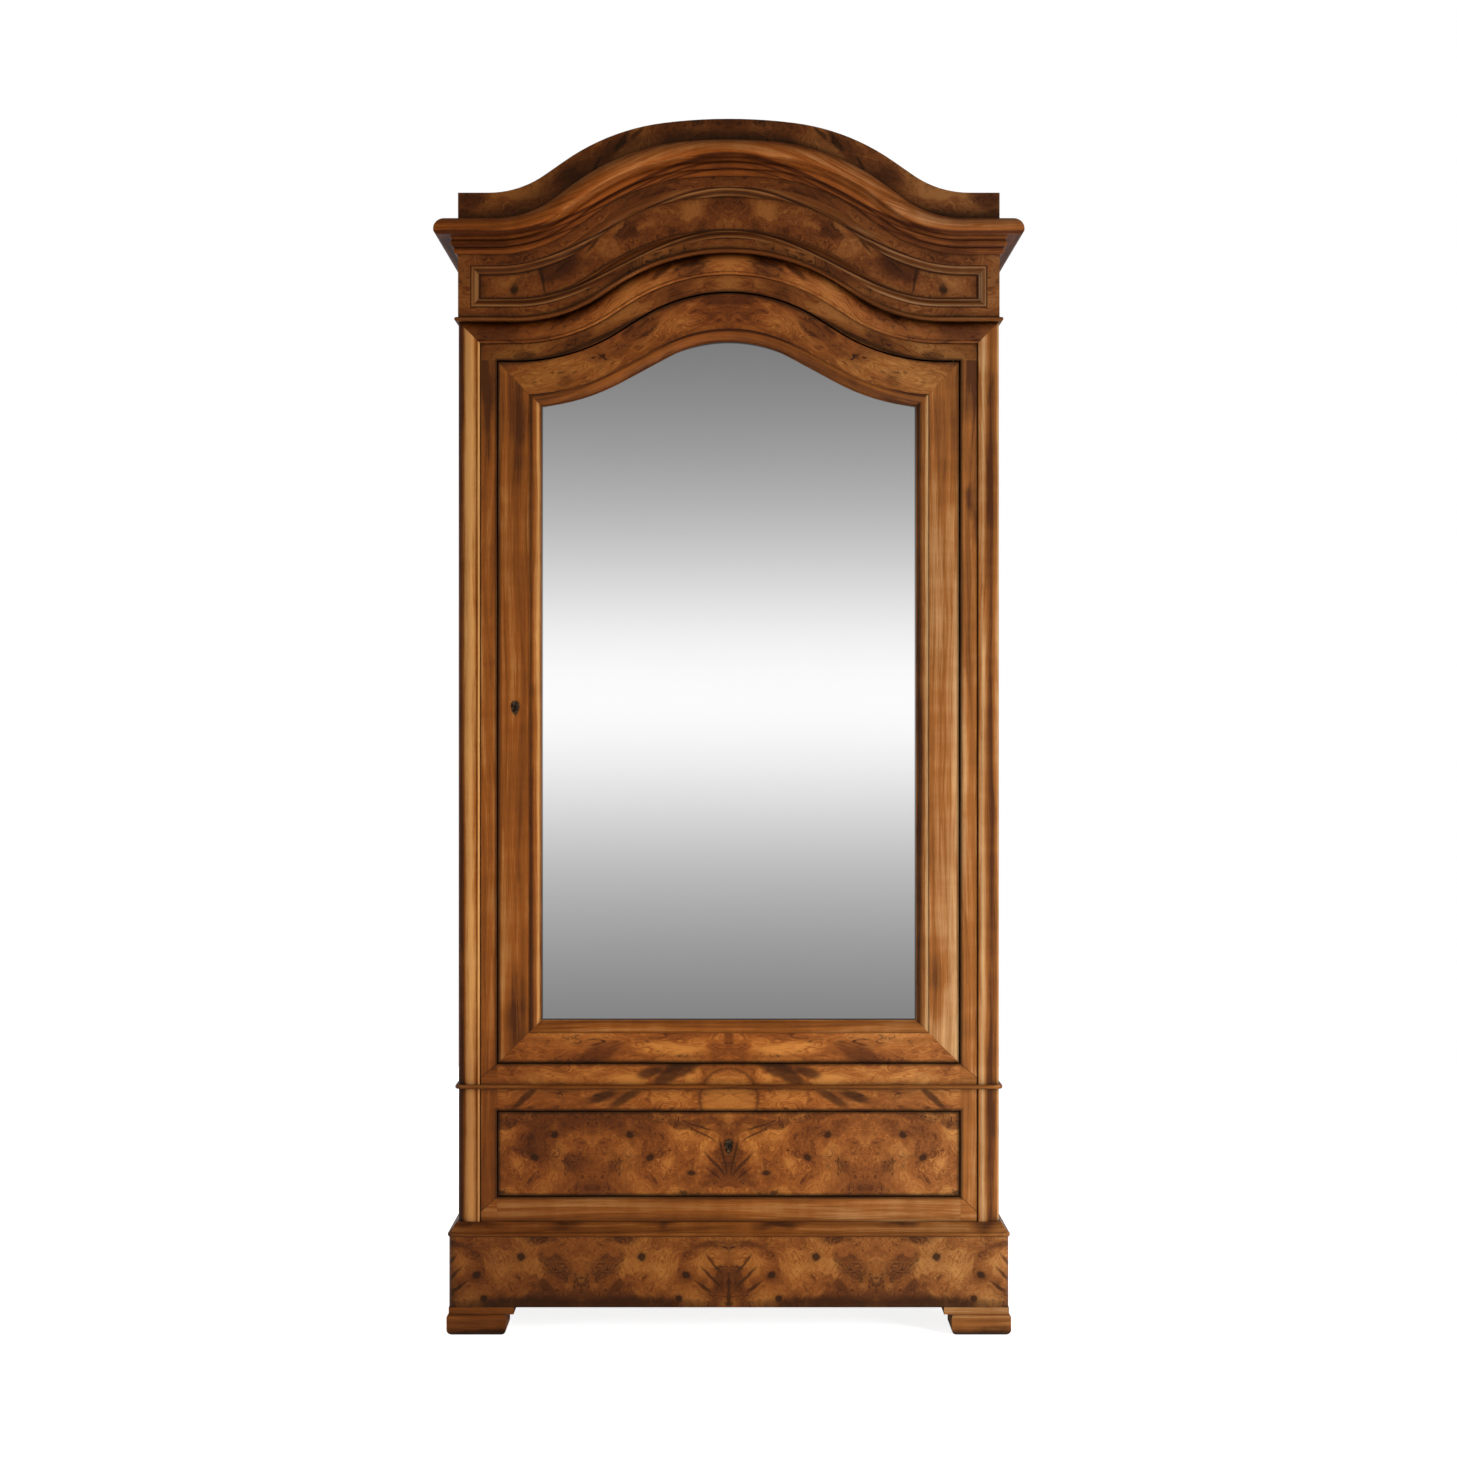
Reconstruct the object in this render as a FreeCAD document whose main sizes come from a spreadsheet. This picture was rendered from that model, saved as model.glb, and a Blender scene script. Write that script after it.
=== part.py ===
import FreeCAD, Part
import math
import os
import re

from FreeCAD import Vector

# Arched linen cupboard with one mirrored door over one drawer.
# Millimetres, +Z up, front towards -Y, origin on the floor under the middle of the cupboard.

DIMENSIONS = (
    # carcase
    ("body_width", 1070, "carcase, outside of the posts"),
    ("body_depth", 500, "carcase, front of the posts to the back"),
    ("post_width", 45, "corner post and arched band, seen from the front"),
    ("post_depth", 60, "front post, front to back"),
    ("rear_post_depth", 45, "rear post, front to back"),
    ("post_round_width", 26, "rounded outer part of the post"),
    ("post_round_depth", 16, "how far the rounding falls back"),
    ("post_bead_width", 6, "bead along the inner edge of the post"),
    ("post_quirk_width", 2, "groove between the bead and the frame"),
    ("post_quirk_depth", 4, "depth of that groove"),
    ("band_depth", 40, "arched band, front to back"),
    ("frame_board_width", 32, "board round the door and the drawer"),
    ("frame_thickness", 30, "boards of the face frame"),
    ("frame_setback", 2, "face frame behind the front of the posts"),
    ("lower_rail_height", 76, "rail under the drawer, down to the plinth"),
    ("drawer_opening_height", 170, "clear height for the drawer"),
    ("waist_rail_height", 93, "rail between the drawer and the door"),
    ("door_opening_height", 1390, "door opening up to where the arch springs"),
    # arches, each given where it crosses the line that it is named after
    ("door_arch_rise", 136, "crown of the door opening above its springing"),
    ("door_arch_shoulder", 39, "level stretch beside the arch of the door opening"),
    ("door_arch_straight", 40, "straight between the two curves of the door arch"),
    ("mirror_arch_rise", 130.5, "crown of the mirror above its springing"),
    ("mirror_arch_overrun", 41, "springing of the mirror's arch beyond its side"),
    ("mirror_arch_straight", 104, "straight between the two curves of the mirror"),
    ("cornice_arch_rise", 155, "crown of the cornice above its springing"),
    ("cornice_arch_shoulder", 74, "level stretch beside the arch of the cornice"),
    ("cornice_arch_straight", 50, "straight between the two curves of the cornice"),
    ("crest_arch_rise", 146, "crown of the crest above its springing"),
    ("crest_arch_shoulder", 60, "level stretch beside the arch of the crest"),
    ("crest_arch_straight", 49, "straight between the two curves of the crest"),
    # feet and plinth
    ("foot_width", 117, "square block of the foot"),
    ("foot_block_height", 41, "block of the foot"),
    ("foot_round", 12, "rounding under the foot"),
    ("foot_ease", 6, "rounding over the block of the foot"),
    ("foot_reach", 21, "foot in front of the posts and beside them"),
    ("foot_cap_width", 128, "square cap on the foot"),
    ("foot_cap_height", 14, "cap on the foot"),
    ("plinth_height", 139, "plinth between the feet and its moulding"),
    ("plinth_reach", 17, "plinth in front of the posts and beside them"),
    ("plinth_thickness", 30, "boards of the plinth"),
    ("plinth_round", 16, "rounded front corners of the plinth"),
    ("base_moulding_height", 27, "moulding on the plinth"),
    ("base_moulding_reach", 20, "moulding on the plinth, in front of the posts"),
    ("base_moulding_nose", 8, "rounded lower edge of that moulding"),
    ("base_moulding_top_reach", 3, "upper edge of that moulding"),
    ("base_moulding_round", 18, "rounded corners of that moulding"),
    ("moulding_seat", 20, "how far a planted moulding reaches in at the corners"),
    # beads
    ("bead_height", 8, "neck bead and waist bead"),
    ("bead_reach", 7, "neck bead and waist bead, out from the carcase"),
    ("bead_fillet", 3, "flat at the root of the beads"),
    ("waist_bead_drop", 49.5, "foot of the waist bead below the door sill"),
    ("waist_bead_round", 23, "rounded corners of the waist bead"),
    # frieze
    ("frieze_height", 132, "neck to the foot of the cornice"),
    ("frieze_thickness", 22, "boards of the frieze and the crest"),
    ("frieze_panel_margin", 24, "side of the carcase to the frieze panel's frame"),
    ("frieze_panel_drop", 21.5, "panel frame below the cornice"),
    ("frieze_panel_lift", 27, "panel frame above the neck"),
    ("frieze_panel_recess", 8, "panel behind the frieze"),
    ("frieze_panel_thickness", 8, "sunk panel of the frieze"),
    ("frieze_moulding_width", 19, "moulding round the frieze panel"),
    ("frieze_moulding_step", 4, "flat on both edges of that moulding"),
    ("frieze_moulding_lip", 3, "inner edge of that moulding above the panel"),
    # cornice and crest
    ("cornice_reach", 45, "cornice in front of the posts and beside them"),
    ("cornice_step_height", 13, "lowest member of the cornice"),
    ("cornice_step_reach", 7, "reach of the lowest member"),
    ("cornice_member_height", 26, "foot of the cornice to the top of its second member"),
    ("cornice_member_reach", 12, "reach of the second member"),
    ("cornice_soffit_height", 34, "foot of the cornice to the underside of its nose"),
    ("cornice_soffit_reach", 17, "where the underside of the nose begins"),
    ("cornice_nose_height", 43, "foot of the cornice to its widest line"),
    ("cornice_nose_back", 37, "reach of the lower edge of the nose"),
    ("cornice_height", 68, "whole cornice"),
    ("cornice_top_reach", 21, "reach of the upper edge of the cornice"),
    ("cornice_fillet", 3, "small flat under the members of the cornice"),
    ("crest_height", 54, "crest above the cornice, at its springing"),
    ("crest_block_width", 30, "block behind the crest"),
    ("crest_block_depth", 110, "block behind the crest, front to back"),
    ("crest_block_height", 110, "block behind the crest"),
    ("crest_block_margin", 230, "side of the carcase to an outer block"),
    # sides, back and inside
    ("side_rail_thickness", 22, "rails of the sides"),
    ("side_upper_rail_height", 100, "upper rail of the sides and the back"),
    ("side_panel_thickness", 12, "panels of the sides"),
    ("side_panel_recess", 8, "panels behind the rails of the sides"),
    ("back_rail_thickness", 22, "rails of the back"),
    ("back_lower_rail_height", 100, "lower rail of the back"),
    ("back_muntin_width", 90, "upright between the two back panels"),
    ("back_panel_thickness", 10, "panels of the back"),
    ("back_panel_recess", 6, "back panels behind their rails"),
    ("top_board_thickness", 18, "dust board over the inside"),
    ("floor_thickness", 18, "board over the drawer"),
    ("shelf_thickness", 20, "shelves"),
    ("shelf_clearance", 2, "between a shelf and the front posts"),
    ("shelf_spacing", 520, "floor to shelf and shelf to shelf, top to top"),
    ("cleat_height", 30, "cleat under a shelf"),
    ("cleat_width", 22, "cleat under a shelf"),
    ("runner_width", 50, "drawer runner"),
    ("runner_height", 24, "drawer runner"),
    ("guide_height", 40, "side guide above the drawer runner"),
    ("runner_gap", 0.3, "running gap between the runner and the drawer"),
    ("guide_gap", 2, "between the guide and the drawer"),
    # door
    ("door_setback", 2, "door and drawer behind the face frame"),
    ("door_thickness", 28, "frame of the door"),
    ("lock_gap", 2, "door gap on the lock side and underneath"),
    ("hinge_gap", 3, "door gap on the hinge side and on top"),
    ("door_stile_width", 60, "uprights of the door"),
    ("door_foot_width", 58, "lower rail of the door"),
    ("door_head_width", 64, "arched rail of the door at the springing"),
    ("mirror_moulding_width", 25, "moulding round the mirror"),
    ("mirror_moulding_depth", 14, "moulding round the mirror, front to back"),
    ("mirror_moulding_rise", 1, "crest of that moulding above its outer edge"),
    ("mirror_moulding_groove", 5, "flat along the outer edge of that moulding"),
    ("mirror_moulding_lip", 3, "thin inner edge of that moulding"),
    ("mirror_moulding_setback", 2, "moulding behind the face of the door"),
    ("mirror_thickness", 4, "mirror glass"),
    ("mirror_lap", 12, "glass behind its moulding"),
    ("backing_thickness", 9, "board behind the glass"),
    ("hinge_inset", 12, "door axis from the edge of the door"),
    ("hinge_depth", 6, "door axis behind the face of the door"),
    ("pivot_plate_length", 32, "brass plate of the pivot"),
    ("pivot_plate_width", 18, "brass plate of the pivot"),
    ("pivot_plate_thickness", 3, "brass plate of the pivot"),
    ("pivot_plate_edge", 4.5, "front edge of the plate to the pin's middle"),
    ("pin_radius", 3, "pivot pin"),
    ("pin_depth", 8, "pin inside the door"),
    ("pin_clearance", 0.05, "pin in its plate, all round"),
    ("pin_room", 0.5, "pin in the wood, all round"),
    ("collar_radius", 5, "collar that carries the door"),
    # locks
    ("lock_height", 707, "keyhole of the door above the door sill"),
    ("lock_keyhole_inset", 34, "keyhole from the edge of the door"),
    ("lock_case_width", 52, "lock case of the door"),
    ("lock_case_height", 90, "lock case of the door"),
    ("lock_case_depth", 14, "lock case, front to back"),
    ("lock_edge", 3, "wood between the lock case and the edge"),
    ("bolt_thickness", 8, "lock bolts, front to back"),
    ("bolt_height", 24, "lock bolts, across their travel"),
    ("bolt_length", 34, "lock bolts, along their travel"),
    ("bolt_set", 0.5, "bolt behind the edge that it comes out of"),
    ("bolt_clearance", 0.3, "bolt in its slot, all round"),
    ("bolt_cover", 3, "front of the lock case over the bolt"),
    ("bolt_travel", 8, "throw of the bolts"),
    ("mortise_depth", 12, "slot that takes a thrown bolt"),
    ("keyhole_radius", 3, "round part of the keyhole"),
    ("keyhole_slot_width", 3, "slot of the keyhole"),
    ("keyhole_slot_length", 9, "slot of the keyhole below its round part"),
    ("escutcheon_width", 16, "plate round a keyhole"),
    ("escutcheon_height", 28, "plate round a keyhole"),
    ("escutcheon_drop", 4, "keyhole's round part above the middle of the plate"),
    ("escutcheon_thickness", 1, "plate round a keyhole"),
    # drawer
    ("drawer_gap", 2, "between the drawer front and its opening"),
    ("drawer_front_thickness", 22, "drawer front"),
    ("drawer_side_inset", 2, "drawer side behind the end of the front"),
    ("drawer_side_thickness", 14, "drawer sides"),
    ("drawer_side_height", 130, "drawer sides"),
    ("drawer_back_room", 32, "drawer sides to the back of the cupboard"),
    ("drawer_back_thickness", 12, "drawer back"),
    ("drawer_bottom_lift", 6, "drawer bottom above the lower edge of the sides"),
    ("drawer_bottom_thickness", 8, "drawer bottom"),
    ("drawer_keyhole_drop", 67, "keyhole of the drawer below the drawer's head"),
    ("drawer_lock_width", 60, "lock case of the drawer"),
    ("drawer_lock_height", 92, "lock case of the drawer"),
    ("drawer_lock_depth", 12, "lock case of the drawer, front to back"),
    # one overrun for every cut
    ("overrun", 5, "how far a cutting solid passes through"),
)

# Shares that fix how an arch's curvature is divided.
DOOR_BEND_SHARE = 0.465
MIRROR_BEND_SHARE = 0.375
CORNICE_BEND_SHARE = 0.585
CORNICE_CROWN_SHARE = 2.42
CORNICE_CROWN_ANGLE = math.radians(5)
CREST_BEND_SHARE = 0.693
CREST_CROWN_SHARE = 2.36
CREST_CROWN_ANGLE = math.radians(7.2)

# Height of an arc over its chord, as a share of the chord.
QUARTER_SHARE = (math.sqrt(2) - 1) / 2
HALF_ROUND_SHARE = 0.5
SOFT_SHARE = 0.12
FLAT_BEAD_SHARE = 0.3
POST_ROUND_SHARE = QUARTER_SHARE * 2 / 3

doc = FreeCAD.newDocument("LinenCupboard")
sheet = doc.addObject("Spreadsheet::Sheet", "Sizes")
for row, (alias, number, note) in enumerate(DIMENSIONS, start=1):
    sheet.set(f"A{row}", note)
    sheet.set(f"B{row}", str(number))
    sheet.setAlias(f"B{row}", alias)
doc.recompute()

nodes = []


def value(text):
    """Number that an expression in the sheet's names stands for."""
    return float(sheet.evalExpression(text))


def bound(text):
    """The same expression as an object outside the sheet writes it."""
    return re.sub(r"[a-z]\w*", lambda name: "Sizes." + name.group(0), text)


# Places that many pieces share, as expressions in the sheet's names.
FRONT = "((cornice_reach - body_depth) / 2)"
BACK = "((cornice_reach + body_depth) / 2)"
HALF = "(body_width / 2)"
FRAME_HALF = f"({HALF} - post_width)"
OPENING_HALF = f"({FRAME_HALF} - frame_board_width)"
PLINTH_FOOT = "(foot_block_height + foot_cap_height)"
PLINTH_TOP = f"({PLINTH_FOOT} + plinth_height)"
DRAWER_SILL = f"({PLINTH_TOP} + lower_rail_height)"
DRAWER_HEAD = f"({DRAWER_SILL} + drawer_opening_height)"
DOOR_SILL = f"({DRAWER_HEAD} + waist_rail_height)"
DOOR_SPRING = f"({DOOR_SILL} + door_opening_height)"
NECK = f"({DOOR_SPRING} + frame_board_width + post_width)"
CORNICE_FOOT = f"({NECK} + frieze_height)"
CORNICE_SEAT = f"({CORNICE_FOOT} + cornice_soffit_height)"
CREST_SPRING = f"({CORNICE_FOOT} + cornice_height + crest_height)"
FRAME_FACE = f"({FRONT} + frame_setback)"
FRAME_BACK = f"({FRAME_FACE} + frame_thickness)"
DOOR_FACE = f"({FRAME_FACE} + door_setback)"
DOOR_LEFT = f"(lock_gap - {OPENING_HALF})"
DOOR_RIGHT = f"({OPENING_HALF} - hinge_gap)"
DOOR_FOOT = f"({DOOR_SILL} + lock_gap)"
DOOR_TOP = f"({DOOR_SPRING} - hinge_gap)"
HINGE_X = f"({DOOR_RIGHT} - hinge_inset)"
HINGE_Y = f"({DOOR_FACE} + hinge_depth)"
MIRROR_HALF = f"({OPENING_HALF} - lock_gap - door_stile_width - mirror_moulding_width)"
MIRROR_FOOT = f"({DOOR_FOOT} + door_foot_width + mirror_moulding_width)"
MIRROR_SPRING = f"({DOOR_TOP} - door_head_width - mirror_moulding_width)"
MIRROR_FACE = f"({DOOR_FACE} + mirror_moulding_setback + mirror_moulding_depth)"
KEYHOLE_X = f"({DOOR_LEFT} + lock_keyhole_inset)"
KEYHOLE_Z = f"({DOOR_SILL} + lock_height)"
DRAWER_KEYHOLE_Z = f"({DRAWER_HEAD} - drawer_keyhole_drop)"
DRAWER_FOOT = f"({DRAWER_SILL} + drawer_gap)"
DRAWER_TOP = f"({DRAWER_HEAD} - drawer_gap)"
DRAWER_HALF = f"({OPENING_HALF} - drawer_gap)"
DRAWER_SIDE_HALF = f"({DRAWER_HALF} - drawer_side_inset)"
DRAWER_FRONT_BACK = f"({DOOR_FACE} + drawer_front_thickness)"
SIDE_INNER_HALF = f"({HALF} - side_rail_thickness)"
BACK_INNER = f"({BACK} - back_rail_thickness)"


def node(piece):
    """Keep an object as one of the cupboard's own pieces."""
    nodes.append(piece)
    return piece


def box(label, x, y, z, length, width, height):
    """Board whose corner and sizes are expressions."""
    piece = doc.addObject("Part::Box", label)
    fields = (
        ("Placement.Base.x", x), ("Placement.Base.y", y), ("Placement.Base.z", z),
        ("Length", length), ("Width", width), ("Height", height),
    )
    for field, text in fields:
        piece.setExpression(field, bound(text))
    return piece


def cylinder(label, x, y, z, radius, height):
    """Upright round piece on the given point."""
    piece = doc.addObject("Part::Cylinder", label)
    fields = (
        ("Placement.Base.x", x), ("Placement.Base.y", y), ("Placement.Base.z", z),
        ("Radius", radius), ("Height", height),
    )
    for field, text in fields:
        piece.setExpression(field, bound(text))
    return piece


def cylinder_back(label, x, y, z, radius, depth):
    """Round piece that runs towards the back from the given point."""
    piece = cylinder(label, x, y, z, radius, depth)
    piece.Placement = FreeCAD.Placement(Vector(), FreeCAD.Rotation(Vector(1, 0, 0), -90))
    return piece


def group(label, pieces):
    """Several separate solids in one node."""
    whole = doc.addObject("Part::Compound", label)
    whole.Links = pieces
    return whole


def fused(label, pieces):
    whole = doc.addObject("Part::MultiFuse", label)
    whole.Shapes = pieces
    return whole


def cut(label, base, tools):
    """The base without the tools."""
    tool = tools[0] if len(tools) == 1 else fused(label + "_tools", tools)
    rest = doc.addObject("Part::Cut", label)
    rest.Base = base
    rest.Tool = tool
    return rest


def feature(label, shape):
    """Piece whose shape is worked out here from the sheet's sizes."""
    piece = doc.addObject("Part::Feature", label)
    piece.Shape = shape
    return piece


def plane(body, role):
    """Origin plane of a body."""
    return next(item for item in body.Origin.OriginFeatures if item.Role == role)


def drawn(body, name, role, edges):
    """Sketch on an origin plane of the body."""
    sketch = body.newObject("Sketcher::SketchObject", name)
    sketch.AttachmentSupport = [(plane(body, role), "")]
    sketch.MapMode = "FlatFace"
    sketch.addGeometry(edges, False)
    return sketch


def plate(label, edges, thickness, face):
    """Board with an outline drawn in the front view, its front at the given place."""
    body = doc.addObject("PartDesign::Body", label)
    sketch = drawn(body, label + "_outline", "XZ_Plane", edges)
    pad = body.newObject("PartDesign::Pad", label + "_pad")
    pad.Profile = sketch
    pad.Reversed = True
    pad.setExpression("Length", bound(thickness))
    body.setExpression("Placement.Base.y", bound(face))
    return body


def upright(label, edges, foot, height):
    """Piece with an outline drawn in plan, standing at the given height."""
    body = doc.addObject("PartDesign::Body", label)
    sketch = drawn(body, label + "_outline", "XY_Plane", edges)
    pad = body.newObject("PartDesign::Pad", label + "_pad")
    pad.Profile = sketch
    pad.setExpression("Length", bound(height))
    body.setExpression("Placement.Base.z", bound(foot))
    return body


def flat(x, y):
    """Point of a sketch."""
    return Vector(x, y, 0)


def outline(place, steps):
    """Closed outline: a step is a corner, or a corner and the bulge of the arc that leads to it."""
    edges = []
    for (x0, y0, *_), (x1, y1, *bulge) in zip(steps, steps[1:] + steps[:1]):
        if bulge:
            x = (x0 + x1) / 2 - (y1 - y0) * bulge[0]
            y = (y0 + y1) / 2 + (x1 - x0) * bulge[0]
            edges.append(Part.Arc(place(x0, y0), place(x, y), place(x1, y1)))
        else:
            edges.append(Part.LineSegment(place(x0, y0), place(x1, y1)))
    return edges


def chain(place, points):
    """Open run of straight edges."""
    return [Part.LineSegment(place(*a), place(*b)) for a, b in zip(points, points[1:])]


def wire(edges):
    return Part.Wire([edge.toShape() for edge in edges])


def prism(edges, direction):
    """Solid that an outline leaves along a direction."""
    return Part.Face(wire(edges)).extrude(direction)


class Arch:
    """Symmetrical arch: a crown, two bends, two straights and two coves that end level.

    The radii follow from the rise, from where the coves end and from the straights,
    so that every stretch runs into the next one smoothly.
    """

    def __init__(self, spring, rise, level_half, straight, bend_share, crown_share=1, crown_angle=0):
        self.spring, self.rise, self.level_half = spring, rise, level_half
        self.crown_angle = crown_angle
        extra = (crown_share - 1) * bend_share
        lean = extra * math.sin(crown_angle)
        fall = bend_share * crown_share - extra * math.cos(crown_angle) + 1 - bend_share
        square = lean ** 2 + fall ** 2 - 1
        middle = lean * level_half + fall * rise
        last = level_half ** 2 + rise ** 2 - straight ** 2
        both = last / (middle + math.sqrt(middle ** 2 - square * last))
        self.crown = both * bend_share * crown_share
        self.bend = both * bend_share
        self.cove = both - self.bend
        self.bend_x = (self.crown - self.bend) * math.sin(crown_angle)
        self.bend_z = spring + rise - self.crown + (self.crown - self.bend) * math.cos(crown_angle)
        self.cove_z = spring + self.cove
        across = level_half - self.bend_x
        up = self.cove_z - self.bend_z
        self.lean = math.atan2(across, up) - math.acos(both / math.hypot(across, up))

    def around(self, x, z, radius, angle):
        return x + radius * math.sin(angle), z + radius * math.cos(angle)

    def half_run(self, offset, half):
        """Stretches from the crown to the side, each as its middle, or None, and its end."""
        crown, bend, cove = self.crown + offset, self.bend + offset, self.cove - offset
        crown_z = self.spring + self.rise - self.crown
        run = []
        if self.crown_angle:
            middle = self.around(0, crown_z, crown, self.crown_angle / 2)
            run.append((middle, self.around(0, crown_z, crown, self.crown_angle)))
        middle = self.around(self.bend_x, self.bend_z, bend, (self.crown_angle + self.lean) / 2)
        run.append((middle, self.around(self.bend_x, self.bend_z, bend, self.lean)))
        run.append((None, self.around(self.level_half, self.cove_z, -cove, self.lean)))
        last = math.asin(max(self.level_half - half, 0) / cove)
        middle = self.around(self.level_half, self.cove_z, -cove, (self.lean + last) / 2)
        run.append((middle, self.around(self.level_half, self.cove_z, -cove, last)))
        if half > self.level_half:
            run.append((None, (half, self.spring + offset)))
        return run

    def edges(self, place, offset, half):
        """Edges from the left side to the right side, at a distance outside the arch."""
        right = []
        here = (0, self.spring + self.rise + offset)
        for middle, there in self.half_run(offset, half):
            right.append((here, middle, there))
            here = there
        left = [((-c[0], c[1]), b and (-b[0], b[1]), (-a[0], a[1])) for a, b, c in reversed(right)]
        found = []
        for start, middle, end in left + right:
            if middle:
                found.append(Part.Arc(place(*start), place(*middle), place(*end)))
            else:
                found.append(Part.LineSegment(place(*start), place(*end)))
        return found

    def height(self, offset, half):
        """Height of the line at that distance from the middle."""
        return self.half_run(offset, half)[-1][1][1]


door_arch = Arch(
    value(DOOR_SPRING), value("door_arch_rise"), value(f"{OPENING_HALF} - door_arch_shoulder"),
    value("door_arch_straight"), DOOR_BEND_SHARE,
)
mirror_arch = Arch(
    value(MIRROR_SPRING), value("mirror_arch_rise"), value(f"{MIRROR_HALF} + mirror_arch_overrun"),
    value("mirror_arch_straight"), MIRROR_BEND_SHARE,
)
cornice_arch = Arch(
    value(CORNICE_FOOT), value("cornice_arch_rise"), value(f"{HALF} - cornice_arch_shoulder"),
    value("cornice_arch_straight"), CORNICE_BEND_SHARE, CORNICE_CROWN_SHARE, CORNICE_CROWN_ANGLE,
)
crest_arch = Arch(
    value(CREST_SPRING), value("crest_arch_rise"), value(f"{HALF} - crest_arch_shoulder"),
    value("crest_arch_straight"), CREST_BEND_SHARE, CREST_CROWN_SHARE, CREST_CROWN_ANGLE,
)


def between(place, lower, lower_offset, upper, upper_offset, half):
    """Outline between two arched lines, closed by its two sides."""
    low = lower.height(lower_offset, half)
    high = upper.height(upper_offset, half)
    sides = [Part.LineSegment(place(x, low), place(x, high)) for x in (-half, half)]
    return lower.edges(place, lower_offset, half) + upper.edges(place, upper_offset, half) + sides


def swept(arch, offset, half, steps):
    """Moulding along an arched line; its section is drawn as reach and height."""
    front = value(FRONT)
    start = arch.height(offset, half)
    section = wire(outline(lambda reach, height: Vector(-half, front - reach, start + height), steps))
    spine = wire(arch.edges(lambda x, z: Vector(x, front, z), offset, half))
    pipe = Part.BRepOffsetAPI.MakePipeShell(spine)
    pipe.setBiNormalMode(Vector(0, 1, 0))
    pipe.add(section, False, False)
    pipe.build()
    pipe.makeSolid()
    return pipe.shape()


def straight_front(foot, half, steps):
    """Moulding straight across the front."""
    front = value(FRONT)
    section = outline(lambda reach, height: Vector(-half, front - reach, foot + height), steps)
    return prism(section, Vector(2 * half, 0, 0))


def straight_side(side, foot, steps):
    """Moulding along one side of the carcase, from in front of it to the back."""
    half, front, back = value(HALF), value(FRONT), value(BACK)
    start = front - value("cornice_reach")
    section = outline(lambda reach, height: Vector(side * (half + reach), start, foot + height), steps)
    return prism(section, Vector(0, back - start, 0))


def front_zone():
    """Everything in front of the mitres at the two front corners."""
    half, front = value(HALF), value(FRONT)
    out, inward = value("cornice_reach"), value("moulding_seat")
    steps = [
        (-half - out, front - out), (half + out, front - out),
        (half - inward, front + inward), (inward - half, front + inward),
    ]
    return prism(outline(flat, steps), Vector(0, 0, value(f"{CREST_SPRING} + crest_arch_rise")))


def mitred(front_run, foot, steps):
    """A front run and its two returns, cut to each other at the corners."""
    zone = front_zone()
    returns = [straight_side(side, foot, steps).cut(zone) for side in (-1, 1)]
    return front_run.common(zone), returns[0], returns[1]


def rounded_plan(reach, radius):
    """Plan of the carcase grown by a reach, with its front corners rounded."""
    half, front, back = value(HALF) + reach, value(FRONT) - reach, value(BACK)
    return [
        (-half, front + radius), (radius - half, front, -QUARTER_SHARE),
        (half - radius, front), (half, front + radius, -QUARTER_SHARE),
        (half, back), (-half, back),
    ]


# Corner posts, with the rounded and beaded section that the arched band shares.

def post_section():
    """Section of the band and the front posts, from the outer edge inwards."""
    width = value("post_width")
    quirk, bead = value("post_quirk_width"), value("post_bead_width")
    bead_end = width - quirk
    return [
        (0, -value("post_round_depth")),
        (value("post_round_width"), 0, POST_ROUND_SHARE),
        (bead_end - bead, 0),
        (bead_end, 0, FLAT_BEAD_SHARE),
        (bead_end, -value("post_quirk_depth")),
        (width, -value("post_quirk_depth")),
    ]


def front_post(side, label):
    """Front post, mitred at the top where the arched band meets it."""
    half, front, depth = value(HALF), value(FRONT), value("post_depth")
    width = value("post_width")
    section = post_section() + [(width, -depth), (0, -depth)]
    steps = [
        (side * (half - u), front - reach, *(side * b for b in bulge))
        for u, reach, *bulge in section
    ]
    body = upright(label, outline(flat, steps), PLINTH_TOP, f"{NECK} - {PLINTH_TOP}")
    top = value(f"{NECK} - {PLINTH_TOP}")
    corner = [(side * half, top), (side * (half - width), top), (side * (half - width), top - width)]
    sketch = drawn(body, label + "_mitre", "XZ_Plane", outline(flat, corner))
    pocket = body.newObject("PartDesign::Pocket", label + "_mitre_pocket")
    pocket.Profile = sketch
    pocket.Type = "ThroughAll"
    pocket.Midplane = True
    return body


posts = []
for side, name in ((-1, "left"), (1, "right")):
    posts.append(node(front_post(side, f"post_front_{name}")))
for side, name in ((-1, "left"), (1, "right")):
    x = f"-{HALF}" if side < 0 else FRAME_HALF
    posts.append(node(box(
        f"post_rear_{name}", x, f"{BACK} - rear_post_depth", PLINTH_TOP,
        "post_width", "rear_post_depth", f"{NECK} - {PLINTH_TOP}",
    )))

band_steps = [(reach, -u, *bulge) for u, reach, *bulge in post_section()]
band_steps += [(-value("band_depth"), -value("post_width")), (-value("band_depth"), 0)]
neck_offset = value("frame_board_width + post_width")
band = swept(door_arch, neck_offset, value(HALF), band_steps)
for side in (-1, 1):
    half, width, neck = value(HALF), value("post_width"), value(NECK)
    corner = [(side * half, neck), (side * (half - width), neck - width), (side * half, neck - width)]
    section = outline(lambda x, z: Vector(x, value(f"{FRONT} - overrun"), z), corner)
    band = band.cut(prism(section, Vector(0, value("band_depth + 2 * overrun"), 0)))
node(feature("band_moulding", band))

# Face frame.

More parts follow.
